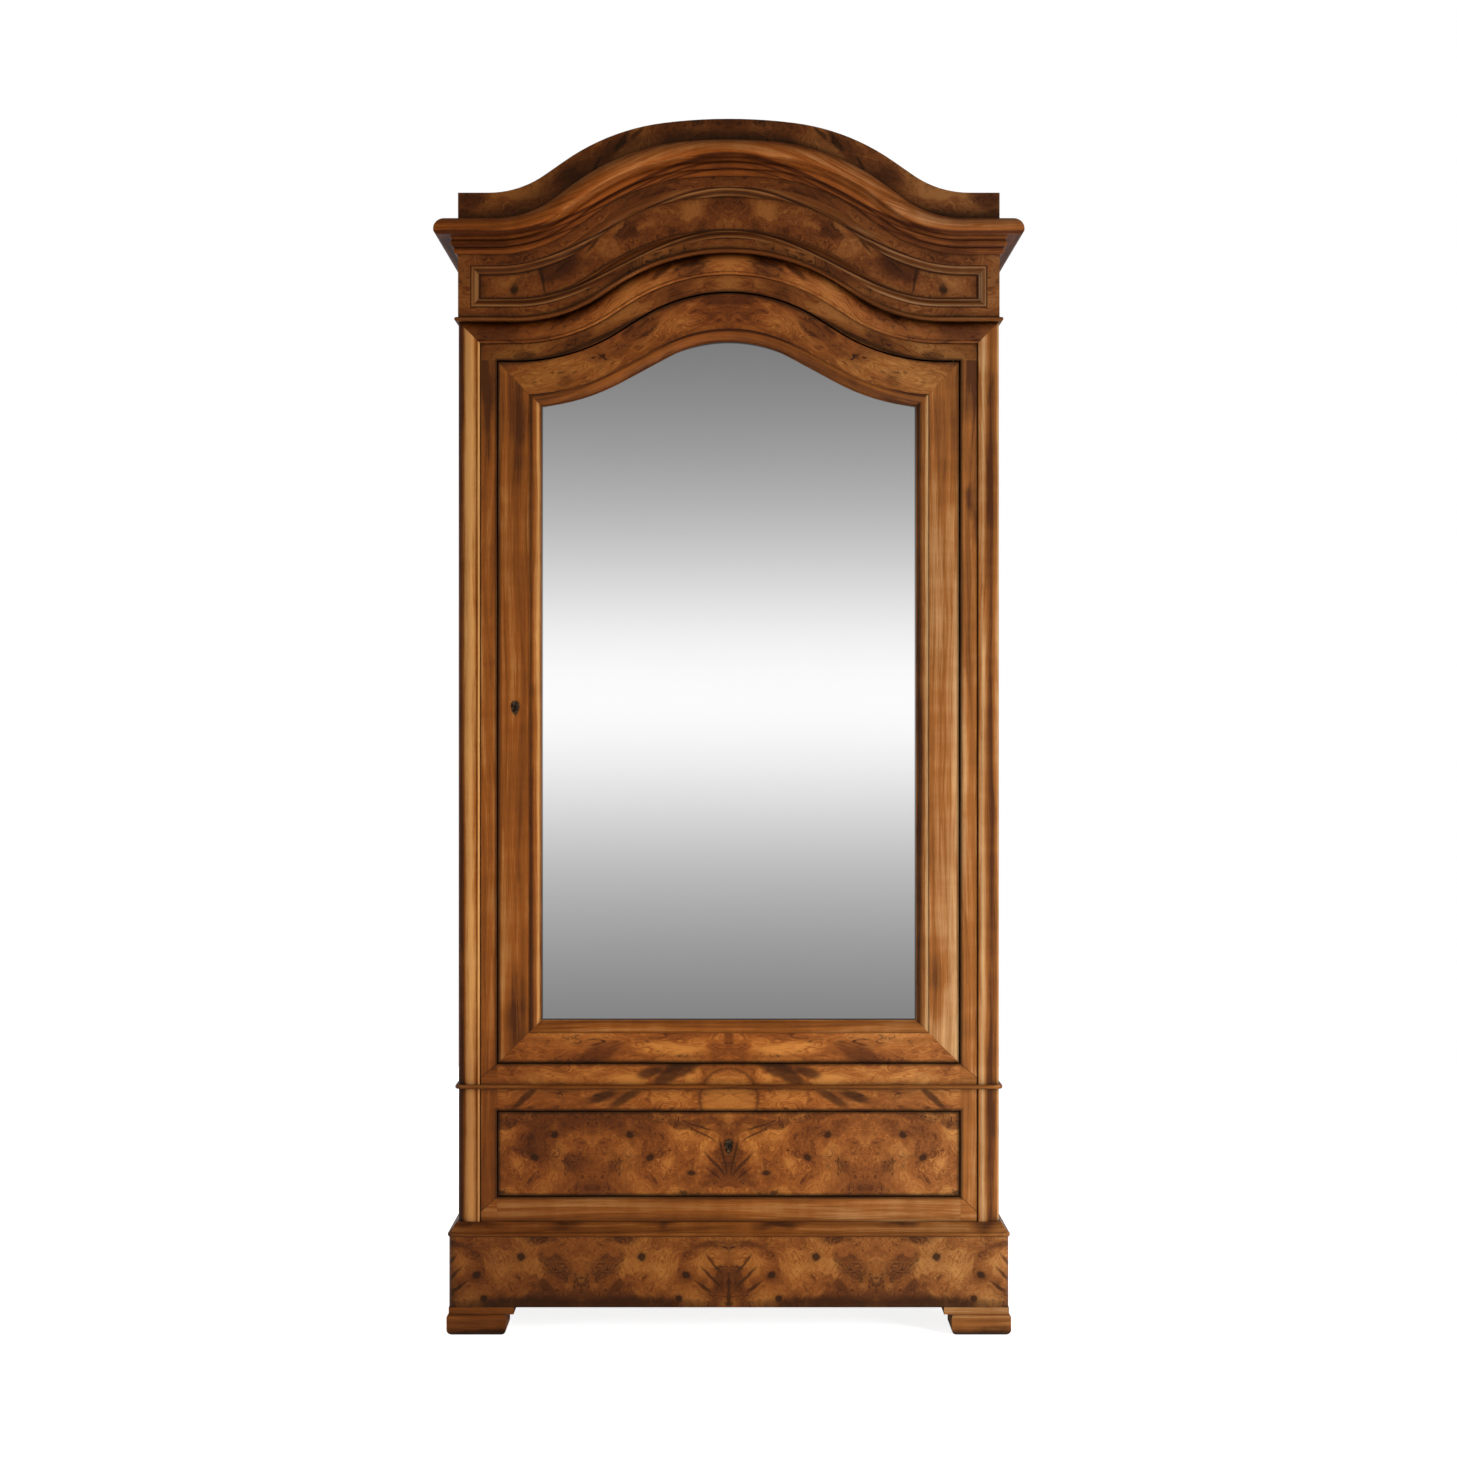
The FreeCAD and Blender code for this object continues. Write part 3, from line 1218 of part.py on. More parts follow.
drawer_blank = box(
    "drawer_front_blank", f"-{DRAWER_HALF}", DOOR_FACE, DRAWER_FOOT,
    f"2 * {DRAWER_HALF}", "drawer_front_thickness", f"{DRAWER_TOP} - {DRAWER_FOOT}",
)
node(cut("drawer_front", drawer_blank, [
    drawer_lock_block("drawer_front_recess"),
    drawer_bolt_slot("drawer_front_slot"),
    keyhole("drawer_front_keyhole", "0", DRAWER_KEYHOLE_Z, DOOR_FACE, "drawer_front_thickness"),
]))
DRAWER_LENGTH = f"({BACK_INNER} - drawer_back_room - {DRAWER_FRONT_BACK})"
INSIDE_HALF = f"({DRAWER_SIDE_HALF} - drawer_side_thickness)"
for x, name in ((f"-{DRAWER_SIDE_HALF}", "left"), (INSIDE_HALF, "right")):
    node(box(
        f"drawer_side_{name}", x, DRAWER_FRONT_BACK, DRAWER_FOOT,
        "drawer_side_thickness", DRAWER_LENGTH, "drawer_side_height",
    ))
BOTTOM_TOP = f"({DRAWER_FOOT} + drawer_bottom_lift + drawer_bottom_thickness)"
DRAWER_BACK_FACE = f"{DRAWER_FRONT_BACK} + {DRAWER_LENGTH} - drawer_back_thickness"
node(box(
    "drawer_bottom", f"-{INSIDE_HALF}", DRAWER_FRONT_BACK, f"{DRAWER_FOOT} + drawer_bottom_lift",
    f"2 * {INSIDE_HALF}", DRAWER_LENGTH, "drawer_bottom_thickness",
))
node(box(
    "drawer_back", f"-{INSIDE_HALF}", DRAWER_BACK_FACE, BOTTOM_TOP, f"2 * {INSIDE_HALF}",
    "drawer_back_thickness", f"{DRAWER_FOOT} + drawer_side_height - {BOTTOM_TOP}",
))
node(cut("drawer_lock", drawer_lock_block("drawer_lock_blank"), [
    drawer_bolt_slot("drawer_lock_slot"),
    keyhole("drawer_lock_keyhole", "0", DRAWER_KEYHOLE_Z, DRAWER_LOCK_Y, "bolt_cover"),
]))
node(box(
    "drawer_lock_bolt", DRAWER_BOLT_X, DRAWER_BOLT_Y, DRAWER_BOLT_Z,
    "bolt_height", "bolt_thickness", "bolt_length",
))
node(escutcheon("drawer_escutcheon", "0", DRAWER_KEYHOLE_Z))

# Checks before anything is written.

doc.recompute()
for item in doc.Objects:
    if "Invalid" in item.State or "Error" in item.State:
        raise RuntimeError(f"{item.Label} failed: {item.State}")
for piece in nodes:
    if piece.Shape.isNull() or not piece.Shape.isValid() or not piece.Shape.Solids:
        raise RuntimeError(f"{piece.Label} has no valid solid")

os.makedirs("parts", exist_ok=True)
for piece in nodes:
    piece.Shape.exportStep(f"parts/{piece.Label}.step")
    print(f"{piece.Label}: {len(piece.Shape.Solids)} solid, {piece.Shape.Volume / 1e6:.3f} litre")
print(len(nodes), "nodes")
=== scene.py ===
import math
from collections import namedtuple

import bpy
from bpy.props import FloatProperty, FloatVectorProperty, PointerProperty
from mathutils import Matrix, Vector


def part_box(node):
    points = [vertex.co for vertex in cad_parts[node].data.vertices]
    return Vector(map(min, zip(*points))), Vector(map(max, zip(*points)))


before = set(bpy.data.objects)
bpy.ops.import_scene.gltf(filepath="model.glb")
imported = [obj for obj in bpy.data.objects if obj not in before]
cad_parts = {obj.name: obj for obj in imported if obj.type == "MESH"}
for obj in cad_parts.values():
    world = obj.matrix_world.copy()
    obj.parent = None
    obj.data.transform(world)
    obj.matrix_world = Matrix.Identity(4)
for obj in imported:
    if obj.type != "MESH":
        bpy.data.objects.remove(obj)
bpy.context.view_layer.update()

bl_info = {
    "name": "Arched Linen Cupboard",
    "version": (1, 0, 0),
    "blender": (4, 5, 0),
    "location": "View3D > Sidebar > Cupboard",
    "description": "Walnut, burl, mirror and metal finishes of an arched cupboard, and its stage",
    "category": "Object",
}


def screen(red, green, blue):
    """Colour written as on a screen, from 0 to 255, made linear."""
    shares = (part / 255 for part in (red, green, blue))
    return tuple(s / 12.92 if s <= 0.04045 else ((s + 0.055) / 1.055) ** 2.4 for s in shares)


def node_box(name):
    """Lowest and highest corner of a piece at rest."""
    low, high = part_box(name)
    return low, high


# Lines of the carcase that the finishes follow, read from the pieces themselves.
POST_LOW, POST_HIGH = node_box("post_front_left")
HALF, FRONT, POST_TOP = -POST_LOW.x, POST_LOW.y, POST_HIGH.z
STILE_LOW, STILE_HIGH = node_box("frame_stile_right")
OPENING_HALF, DOOR_SPRING = STILE_LOW.x, STILE_HIGH.z
WAIST_LOW, WAIST_HIGH = node_box("rail_waist")
LOWER_RAIL_TOP = node_box("rail_lower")[1].z
BEAD_FOOT = node_box("waist_bead")[0].z
FRIEZE_LOW, FRIEZE_HIGH = node_box("frieze_moulding")
CORNICE_FOOT = node_box("cornice_front")[0].z
CREST_TOP = node_box("crest_board")[1].z
MOULD_LOW, MOULD_HIGH = node_box("mirror_moulding")
MOULD_WIDTH = 0.025
MIRROR_HALF, MIRROR_FOOT = MOULD_HIGH.x - MOULD_WIDTH, MOULD_LOW.z + MOULD_WIDTH

# Arched lines that the grain follows.
Arch = namedtuple("Arch", "spring rise half")
DOOR_ARCH = Arch(DOOR_SPRING, rise=0.136, half=0.419)
MOULD_ARCH = Arch(DOOR_SPRING - 0.066, rise=0.1305, half=0.412)
MIRROR_ARCH = Arch(MOULD_ARCH.spring - 0.026, MOULD_ARCH.rise, MOULD_ARCH.half)
CORNICE_ARCH = Arch(CORNICE_FOOT, rise=0.155, half=0.461)
CREST_RISE = 0.146
CREST_ARCH = Arch(CREST_TOP - CREST_RISE, CREST_RISE, half=0.475)

# Widths of the gaps round the door and the drawer, and how far from their middle the painted shadow
# along them is full and where it ends.
DOOR_SIDE_GAP, DOOR_HEAD_GAP, PLAIN_GAP = 0.0024, 0.003, 0.002
GAP_BLACK, GAP_CLEAR = 0.0015, 0.009
FRONT_DEPTH = 0.03

# Painted sheen that makes the right side paler and yellower, painted shade that darkens the
# lower left, a redder and a little darker top, and where each of them starts and ends.
PAINTED_SHEEN, PAINTED_SHEEN_SIDE = (1.07, 1.3, 1.9), (0.0, 0.5)
PAINTED_SHADE, PAINTED_SHADE_SIDE, PAINTED_SHADE_HEIGHT = (0.78, 0.72, 0.72), (-0.5, -0.1), (0.5, 0.65)
REDDENED, RED_TOP = (0.95, 0.86, 0.9), (1.9, 2.05)

# Tint of the gloss on waxed wood and on everything else.
WAX_SHEEN, PLAIN_SHEEN = (1.0, 0.74, 0.46), (1.0, 1.0, 1.0)
KNOT_WIDTH, KNOT_HEIGHT = 0.019, 0.017
VENEER_RELIEF, INNER_RELIEF, INNER_EDGE, METAL_EDGE = 0.00012, 0.0004, 0.001, 0.0005


def colour_setting(name, description, red, green, blue):
    return FloatVectorProperty(
        name=name, description=description, subtype="COLOR", size=3, min=0, max=1,
        default=screen(red, green, blue))


def share_setting(name, description, default):
    return FloatProperty(
        name=name, description=description, subtype="FACTOR", min=0, max=1, default=default)


def length_setting(name, description, default, low, high, precision=4):
    return FloatProperty(
        name=name, description=description, subtype="DISTANCE", unit="LENGTH", min=low, max=high,
        precision=precision, default=default)


def power_setting(name, description, default):
    return FloatProperty(
        name=name, description=description, subtype="POWER", unit="POWER", min=0, max=2000,
        default=default)


class WalnutSettings(bpy.types.PropertyGroup):
    """Straight-grained walnut."""
    deep: colour_setting("Dark grain", "Colour of the darkest bands of the grain", 72, 35, 14)
    middle: colour_setting("Wood", "Colour of the wood between the bands", 142, 78, 28)
    pale: colour_setting("Pale grain", "Colour of the palest bands of the grain", 194, 138, 78)
    roughness: share_setting("Roughness", "Roughness of the waxed surface", 0.36)
    relief: length_setting("Grain depth", "Depth of the open grain", 0.0003, 0, 0.002, 5)
    edge: length_setting("Edge rounding", "Radius that the worn edges show", 0.0016, 0, 0.005)


class BurlSettings(bpy.types.PropertyGroup):
    """Burl and figured veneers."""
    ink: colour_setting("Ink", "Colour of the knots and of the darkest figure", 40, 18, 8)
    dark: colour_setting("Dark figure", "Colour of the smoky figure", 80, 37, 14)
    middle: colour_setting("Veneer", "Colour of the veneer between the figures", 140, 75, 28)
    pale: colour_setting("Pale figure", "Colour of the palest parts of the veneer", 182, 114, 50)
    roughness: share_setting("Roughness", "Roughness of the polished veneer", 0.32)


class InnerSettings(bpy.types.PropertyGroup):
    """Plain wood of the inside and the back."""
    deep: colour_setting("Dark grain", "Colour of the darker bands", 122, 86, 52)
    middle: colour_setting("Wood", "Colour of the wood between the bands", 168, 128, 84)
    pale: colour_setting("Pale grain", "Colour of the palest bands", 196, 160, 114)
    roughness: share_setting("Roughness", "Roughness of the raw wood", 0.62)


class MetalSettings(bpy.types.PropertyGroup):
    """Brass, steel and mirror."""
    brass: colour_setting("Brass", "Colour of the aged brass", 116, 92, 66)
    tarnish: colour_setting("Tarnish", "Colour of the brass where it has darkened", 42, 31, 26)
    steel: colour_setting("Steel", "Colour of the oiled steel", 120, 116, 110)
    silver: FloatVectorProperty(
        name="Silvering", description="Colour of the mirror",
        subtype="COLOR", size=3, min=0, max=1, default=(0.97, 0.97, 0.97))


class StageSettings(bpy.types.PropertyGroup):
    """Floor, lamps and camera."""
    camera_distance: length_setting(
        "Camera distance", "Camera in front of the cupboard's posts", 6.0, 1, 20)
    camera_height: length_setting("Camera height", "Camera above the floor", 1.1954, 0, 5)
    picture_width: length_setting(
        "Picture width", "Width that the picture takes in at the cupboard's posts", 2.8776, 0.5, 10)
    key: power_setting("Key lamp", "Power of the lamp on the right", 82)
    left: power_setting("Left lamp", "Power of the lamp on the left", 15)
    top: power_setting("Top lamp", "Power of the lamp above", 10)
    rear: power_setting("Rear lamp", "Power of the lamp behind the cupboard", 150)
    ambient: FloatProperty(
        name="Ambient light", description="Even light from all around",
        min=0, max=2, default=0.18)
    floor_size: length_setting("Floor", "Length of the floor's sides", 9.0, 1, 40)


class CupboardSettings(bpy.types.PropertyGroup):
    """All that a user would change."""
    walnut: PointerProperty(type=WalnutSettings, name="Walnut", description="Straight-grained walnut")
    burl: PointerProperty(type=BurlSettings, name="Burl", description="Burl and figured veneers")
    inner: PointerProperty(type=InnerSettings, name="Inside", description="Plain wood inside")
    metal: PointerProperty(type=MetalSettings, name="Metal", description="Brass, steel and mirror")
    stage: PointerProperty(type=StageSettings, name="Stage", description="Floor, lamps and camera")


class Field:
    """Number, colour or vector that varies over a surface; sums with it add nodes."""

    def __init__(self, nodes, socket):
        self.nodes, self.socket = nodes, socket

    def maths(self, operation, *values):
        return self.nodes.field("Math", {"operation": operation}, dict(enumerate(values)))

    def __add__(self, other):
        return self.maths("ADD", self, other)

    def __sub__(self, other):
        return self.maths("SUBTRACT", self, other)

    def __rsub__(self, other):
        return self.maths("SUBTRACT", other, self)

    def __mul__(self, other):
        return self.maths("MULTIPLY", self, other)

    def __truediv__(self, other):
        return self.maths("DIVIDE", self, other)

    def __rtruediv__(self, other):
        return self.maths("DIVIDE", other, self)

    def __pow__(self, other):
        return self.maths("POWER", self, other)

    def __abs__(self):
        return self.maths("ABSOLUTE", self)

    def __neg__(self):
        return self.maths("MULTIPLY", self, -1)

    __radd__ = __add__
    __rmul__ = __mul__

    def larger(self, other):
        return self.maths("MAXIMUM", self, other)

    def smaller(self, other):
        return self.maths("MINIMUM", self, other)

    def folded(self, width):
        return self.maths("PINGPONG", self, width)

    def above(self, limit):
        return self.maths("GREATER_THAN", self, limit)

    def rise(self, low, high):
        """Smooth step from 0 at low to 1 at high."""
        settings = {"interpolation_type": "SMOOTHSTEP"}
        return self.nodes.field("MapRange", settings, {0: self, 1: low, 2: high})

    def stripe(self, place, width):
        """1 at the place, falling to 0 at the given distance from it."""
        return (1 - abs(self - place) / width).larger(0)


def choose(mask, first, second):
    """First where the mask is 0, second where it is 1."""
    return mask * (second - first) + first


class Nodes:
    """Node tree that is built up from fields."""

    def __init__(self, tree):
        self.tree = tree
        tree.nodes.clear()

    def node(self, kind, settings=None, sockets=None):
        """Node with its settings made first, then its sockets."""
        made = self.tree.nodes.new("ShaderNode" + kind)
        for name, setting in (settings or {}).items():
            if name == "stops":
                stops = made.color_ramp.elements
                while len(stops) < len(setting):
                    stops.new(1)
                for stop, (position, colour) in zip(stops, setting):
                    stop.position = position
                    stop.color = (*colour, 1)
            else:
                setattr(made, name, setting)
        for name, value in (sockets or {}).items():
            socket = made.inputs[name]
            if isinstance(value, Field):
                self.tree.links.new(value.socket, socket)
            elif socket.type == "RGBA" and len(value) == 3:
                socket.default_value = (*value, 1)
            else:
                socket.default_value = value
        return made

    def field(self, kind, settings=None, sockets=None, output=0):
        return Field(self, self.node(kind, settings, sockets).outputs[output])

    def parts(self, vector):
        split = self.node("SeparateXYZ", None, {0: vector})
        return [Field(self, socket) for socket in split.outputs]

    def vector(self, x, y, z):
        return self.field("CombineXYZ", None, {0: x, 1: y, 2: z})

    def vector_maths(self, operation, *values):
        return self.field("VectorMath", {"operation": operation}, dict(enumerate(values)))

    def scaled(self, vector, factor):
        return self.field("VectorMath", {"operation": "SCALE"}, {0: vector, 3: factor})

    def noise(self, vector, scale=1, detail=2, roughness=0.5, output=0):
        sockets = {"Vector": vector, "Scale": scale, "Detail": detail, "Roughness": roughness}
        return self.field("TexNoise", None, sockets, output)

    def mix(self, share, first, second):
        return self.field("Mix", {"data_type": "RGBA"}, {0: share, 6: first, 7: second}, 2)


class Finish(Nodes):
    """Material of a piece. Heights of its marks are measured from the piece's foot."""

    def __init__(self, name, foot=0.0):
        self.material = bpy.data.materials.new(name)
        self.material.use_nodes = True
        super().__init__(self.material.node_tree)
        self.foot = foot
        place = self.node("TexCoord")
        self.place = Field(self, place.outputs["Object"])
        self.x, self.y, self.z = self.parts(self.place)
        self.facing_y = self.parts(Field(self, place.outputs["Normal"]))[1]

    def shift(self, vector, scale, reach, detail=2):
        """The vector moved about at random, up to about half the reach."""
        random_colour = self.noise(vector, scale, detail, output=1)
        centred = self.vector_maths("SUBTRACT", random_colour, (0.5, 0.5, 0.5))
        return self.vector_maths("ADD", vector, self.scaled(centred, reach))

    def on_front(self, vector):
        """The vector laid flat onto the plane of the front."""
        return self.vector_maths("MULTIPLY", vector, (1, 0, 1))

    def shaded(self, value, dark, middle, pale, spread=0.38):
        """Colour from dark to pale, which is the middle one where the value is one half."""
        stops = [(0.5 - spread, dark), (0.5, middle), (0.5 + spread, pale)]
        return self.field("ValToRGB", {"stops": stops}, {0: value})

    def spot(self, vector, x, z, wide, tall, turn=0):
        """Soft ellipse: 1 in its middle, 0 at its edge; wide and tall are half its sizes."""
        moved = self.field("Mapping", {"vector_type": "TEXTURE"}, {
            "Vector": vector, "Location": (x, 0, self.foot + z),
            "Rotation": (0, math.radians(turn), 0), "Scale": (wide, 1, tall),
        })
        return self.field("TexGradient", {"gradient_type": "SPHERICAL"}, {0: moved}, 1)

    def spots(self, vector, places):
        """The strongest of several ellipses at each point."""
        found = None
        for place in places:
            here = self.spot(vector, *place)
            found = here if found is None else found.larger(here)
        return found

    def patched(self, places):
        """Ragged dark ellipses."""
        return self.spots(self.shift(self.place, 14, 0.04, 3), places)

    def tinted(self, colour, share, tint):
        return self.vector_maths("MULTIPLY", colour, self.mix(share, (1, 1, 1), tint))

    def aged(self, colour, least=0.12):
        """Colour with painted shade in its hollows (partly old wax), painted shadow along the gaps of
        the door and the drawer, and the tints that the constants above set out.
        """
        # Ambient occlusion darkens the hollows: painted shade, partly old wax there.
        open_share = self.field("AmbientOcclusion", {"samples": 6}, {"Distance": 0.014}, 1)
        unshaded = choose(open_share ** 1.7, least, 1) * (1 - self.gap_shadows() * 0.8)
        # Painted shade darkens the lower left.
        low_left_shade = (1 - self.x.rise(*PAINTED_SHADE_SIDE)) * (1 - self.z.rise(*PAINTED_SHADE_HEIGHT))
        # Painted sheen makes the right side paler and yellower.
        colour = self.tinted(colour, self.x.rise(*PAINTED_SHEEN_SIDE), PAINTED_SHEEN)
        colour = self.tinted(colour, low_left_shade, PAINTED_SHADE)
        colour = self.tinted(colour, self.z.rise(*RED_TOP), REDDENED)
        return self.scaled(colour, unshaded)

    def gap_shadows(self):
        """Painted shadow: 1 along the edges that face each other across the gaps of the door and the
        drawer.
        """
        out = abs(self.x) - OPENING_HALF
        door = (out + DOOR_SIDE_GAP / 2).larger(over_arch(self, DOOR_ARCH) + DOOR_HEAD_GAP / 2)
        door = abs(door.larger(WAIST_HIGH.z + PLAIN_GAP / 2 - self.z))
        drawer = (out + PLAIN_GAP / 2).larger(self.z - WAIST_LOW.z + PLAIN_GAP / 2)
        drawer = abs(drawer.larger(LOWER_RAIL_TOP + PLAIN_GAP / 2 - self.z))
        behind = self.y.above(FRONT + FRONT_DEPTH)
        return (1 - door.smaller(drawer).rise(GAP_BLACK, GAP_CLEAR)) * (1 - behind)

    def surface(self, colour, roughness, height=None, depth=0.0, edge=0.0, metallic=0.0,
                specular=0.3, sheen=WAX_SHEEN):
        """Shader of the material; height is its relief, and edge the radius of its edges."""
        sockets = {
            "Base Color": colour, "Roughness": roughness, "Metallic": metallic,
            "Specular IOR Level": specular, "Specular Tint": sheen,
        }
        normal = self.field("Bevel", {"samples": 4}, {"Radius": edge}) if edge else None
        if height is not None:
            bump = {"Height": height, "Distance": depth, "Strength": 1.0}
            if normal:
                bump["Normal"] = normal
            normal = self.field("Bump", None, bump)
        if normal:
            sockets["Normal"] = normal
        shader = self.field("BsdfPrincipled", None, sockets)
        self.node("OutputMaterial", None, {"Surface": shader})
        return self.material


def over_arch(finish, arch):
    """Height above an arched line, or above the floor without one."""
    if arch is None:
        return finish.z
    turn = (abs(finish.x) * (math.pi / arch.half)).smaller(math.pi)
    return finish.z - arch.spring - (turn.maths("COSINE", turn) + 1) * (arch.rise / 2)


def around_front(finish, across):
    """Grain that runs along the front, and along the sides on the returns."""
    side = (abs(finish.x) + finish.y).above(HALF + FRONT)
    return choose(side, finish.x, finish.y), across, choose(side, finish.y, finish.x)


def dress(material, *names):
    """Give pieces a finish through their own material slots."""
    for name in names:
        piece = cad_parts[name]
        if not piece.material_slots:
            raise RuntimeError(f"{name} has no material slot")
        for place in piece.material_slots:
            place.link = "OBJECT"
            place.material = material


def grain(finish, run, seed):
    """Straight grain: how pale it is, from 0 to 1, and how high it stands.

    The run is the grain's three directions: along it, across it and into the wood.
    """
    along, across, depth = run

    def layer(lengthwise, sidewise, detail):
        """Noise drawn out along the grain; a low count draws it out far."""
        place = finish.vector(along * lengthwise, across * sidewise, depth * sidewise + seed)
        return finish.noise(place, detail=detail)

    wander = layer(1.7, 6, 2) - 0.5
    across = across + wander * 0.035
    depth = depth + wander * 0.02
    bands = layer(1.3, 24, 3)
    stripes = layer(2.6, 110, 3)
    fibres = layer(11, 430, 2)
    ripple = layer(26, 7, 2)
    pores = layer(70, 1500, 1).rise(0.6, 0.75)
    rings = (across * 42 + bands * 5).folded(0.5)
    lines = 1 - rings.rise(0, 0.12)
    pale = (
        0.5 + (bands - 0.5) * 0.85 + (stripes - 0.5) * 0.55 + (fibres - 0.5) * 0.3
        + (ripple - 0.5) * 0.22 - lines * 0.09 - pores * 0.14
    )
    height = fibres * 0.5 - pores * 0.5
    return pale, height


def walnut_surface(finish, run, seed, tone, shade=0.0, edge=True, least=0.12, specular=0.3):
    """Waxed walnut; shade darkens its grain, and tone its whole colour."""
    settings = bpy.context.scene.cupboard.walnut
    pale, height = grain(finish, run, seed)
    along, across, depth = run
    colour = finish.shaded(pale - shade, settings.deep, settings.middle, settings.pale)
    mottle = finish.noise(finish.place, 3.1, 3) - 0.5
    cloud = finish.vector(along * 4, across * 60, depth * 60 + seed)
    cloud = finish.noise(cloud, detail=4) - 0.5
    colour = finish.aged(finish.scaled(colour, (1 + mottle * 0.4 + cloud * 0.45) * tone), least)
    roughness = settings.roughness + (pale - 0.5) * -0.10 + mottle * 0.12
    radius = settings.edge if edge else 0.0
    return finish.surface(colour, roughness, height, settings.relief, radius, specular=specular)


def walnut(pieces, name, way, seed, tone=1.0, arch=None, sap=0.0, light_and_shade_stripes=(), patches=(), **others):
    """Straight-grained walnut; way says how its grain runs, and sap makes it paler.

    Light and shade stripes are upright painted highlights (pale) and painted shade (dark), as
    their distance from the cupboard's side, half width and depth of colour. Patches are dark
    ellipses, as their place, half sizes and turn.
    """
    finish = Finish(name, foot=node_box(pieces[0])[0].z)
    if way == "up":
        run = finish.z, finish.x, finish.y
    elif way == "deep":
        run = finish.y, finish.z, finish.x
    elif way == "around":
        run = around_front(finish, over_arch(finish, arch))
    else:
        raise RuntimeError(f"no grain runs {way}")
    shade = -sap
    inward = HALF - abs(finish.x)
    # Painted highlights and painted shade in upright stripes along the profile.
    for place, width, share in light_and_shade_stripes:
        shade = inward.stripe(place, width) * share + shade
    if patches:
        shade = finish.patched(patches) * 0.45 + shade
    dress(walnut_surface(finish, run, seed, tone, shade, **others), *pieces)


class Veneer(Finish):
    """Bookmatched veneer on the front of a board.

    The leaves meet at the middle and fold back at the given distance from it. A low stretch
    draws the figure out sideways, and wild says how strongly it curls.
    """

    def __init__(self, piece, name, seed, fold, arch, stretch, wild):
        super().__init__(name, foot=node_box(piece)[0].z)
        leaf = abs(self.x).folded(fold)
        lie = over_arch(self, arch)
        self.leaf = self.vector(leaf, 0, self.z)
        self.flat = self.vector(leaf * stretch, seed, lie)
        self.curled = self.shift(self.shift(self.flat, 8, 0.08 * wild, 2), 34, 0.022 * wild, 3)
        self.waves = self.noise(self.curled, 15, 3)
        self.lines = self.noise(self.vector(self.waves * 70, leaf * 22, lie * 22), 1, 4, 0.62)
        self.fine = self.noise(self.flat, 150, 3, 0.7)

    def clouded(self, smoke, glow, gloom):
        """Colour of the veneer before its black figure, and how smoky it is."""
        settings = bpy.context.scene.cupboard.burl
        lines = self.lines - 0.5
        bend = self.vector_maths("SUBTRACT", self.curled, self.flat)
        moved = self.on_front(self.vector_maths("ADD", self.leaf, bend))
        clouds = self.noise(self.vector_maths("ADD", self.curled, (3.1, 0, 1.7)), 11, 6, 0.66)
        smoky = (clouds - 0.54) * 7 + lines * 2.4
        pale = (self.waves - 0.5) * 1.5 + lines * 1.5 + (self.fine - 0.5) * 0.5 + 0.5
        if smoke:
            smoky = smoky + self.spots(moved, smoke) * 2.0
        if gloom:
            whole = self.vector_maths("ADD", self.vector(self.x, 0, self.z), bend)
            smoky = smoky + self.spots(self.on_front(whole), gloom) * 1.6
        if glow:
            light = self.spots(moved, glow)
            smoky, pale = smoky - light * 2.0, pale + light * 0.4
        smoky = smoky.rise(0, 1.2)
        colour = self.shaded(pale, settings.dark, settings.middle, settings.pale, 0.4)
        return self.mix(smoky * (lines * 3 + 0.7), colour, settings.dark), smoky

    def blackened(self, colour, smoky, domes, marks, knots):
        """The colour with black pips, outlines, figures and knots."""
        settings = bpy.context.scene.cupboard.burl
        lines = self.lines
        near = self.on_front(self.shift(self.leaf, 26, 0.016, 4))
        pips = self.field("TexVoronoi", None, {"Vector": self.flat, "Scale": 85.0}, 0)
        clusters = self.noise(self.vector_maths("ADD", self.flat, (0, 4.4, 0)), 12, 2)
        black = smoky * lines.rise(0.52, 0.68) * 0.75
        black = black.larger((1 - pips.rise(0.08, 0.26)) * clusters.rise(0.5, 0.62) * 0.6)
        if domes:
            dome = self.spots(near, domes)
            colour = self.mix(dome.rise(0.05, 0.4) * lines, colour, settings.pale)
            outline = dome.stripe(0.1, 0.08) * (lines + 0.1)
            black = (black * (1 - dome.rise(0.1, 0.4))).larger(outline)
        if marks:
            marked = self.spots(near, marks) + (lines - 0.5) * 0.5
            black = black.larger(marked.rise(0.08, 0.6) * 0.75)
        if knots:
            ragged = self.on_front(self.shift(self.leaf, 75, 0.011, 3))
            eyes = self.spots(ragged, [(x, z, KNOT_WIDTH, KNOT_HEIGHT) for x, z in knots])
            black = black.larger(eyes.rise(0.45, 0.72) * 0.92)
            black = black.larger(eyes.rise(0.0, 0.6) * lines.rise(0.42, 0.62) * 0.55)
        return self.mix(black, colour, settings.ink)

    def on_board(self, colour, seed):
        """The colour on the board's front, and straight grain on its other faces."""
        wood = bpy.context.scene.cupboard.walnut
        straight, _ = grain(self, (self.x, self.z, self.y), seed)
        inside = self.shaded(straight, wood.deep, wood.middle, wood.pale)
        return self.mix((-self.facing_y).rise(0.3, 0.5), inside, colour)


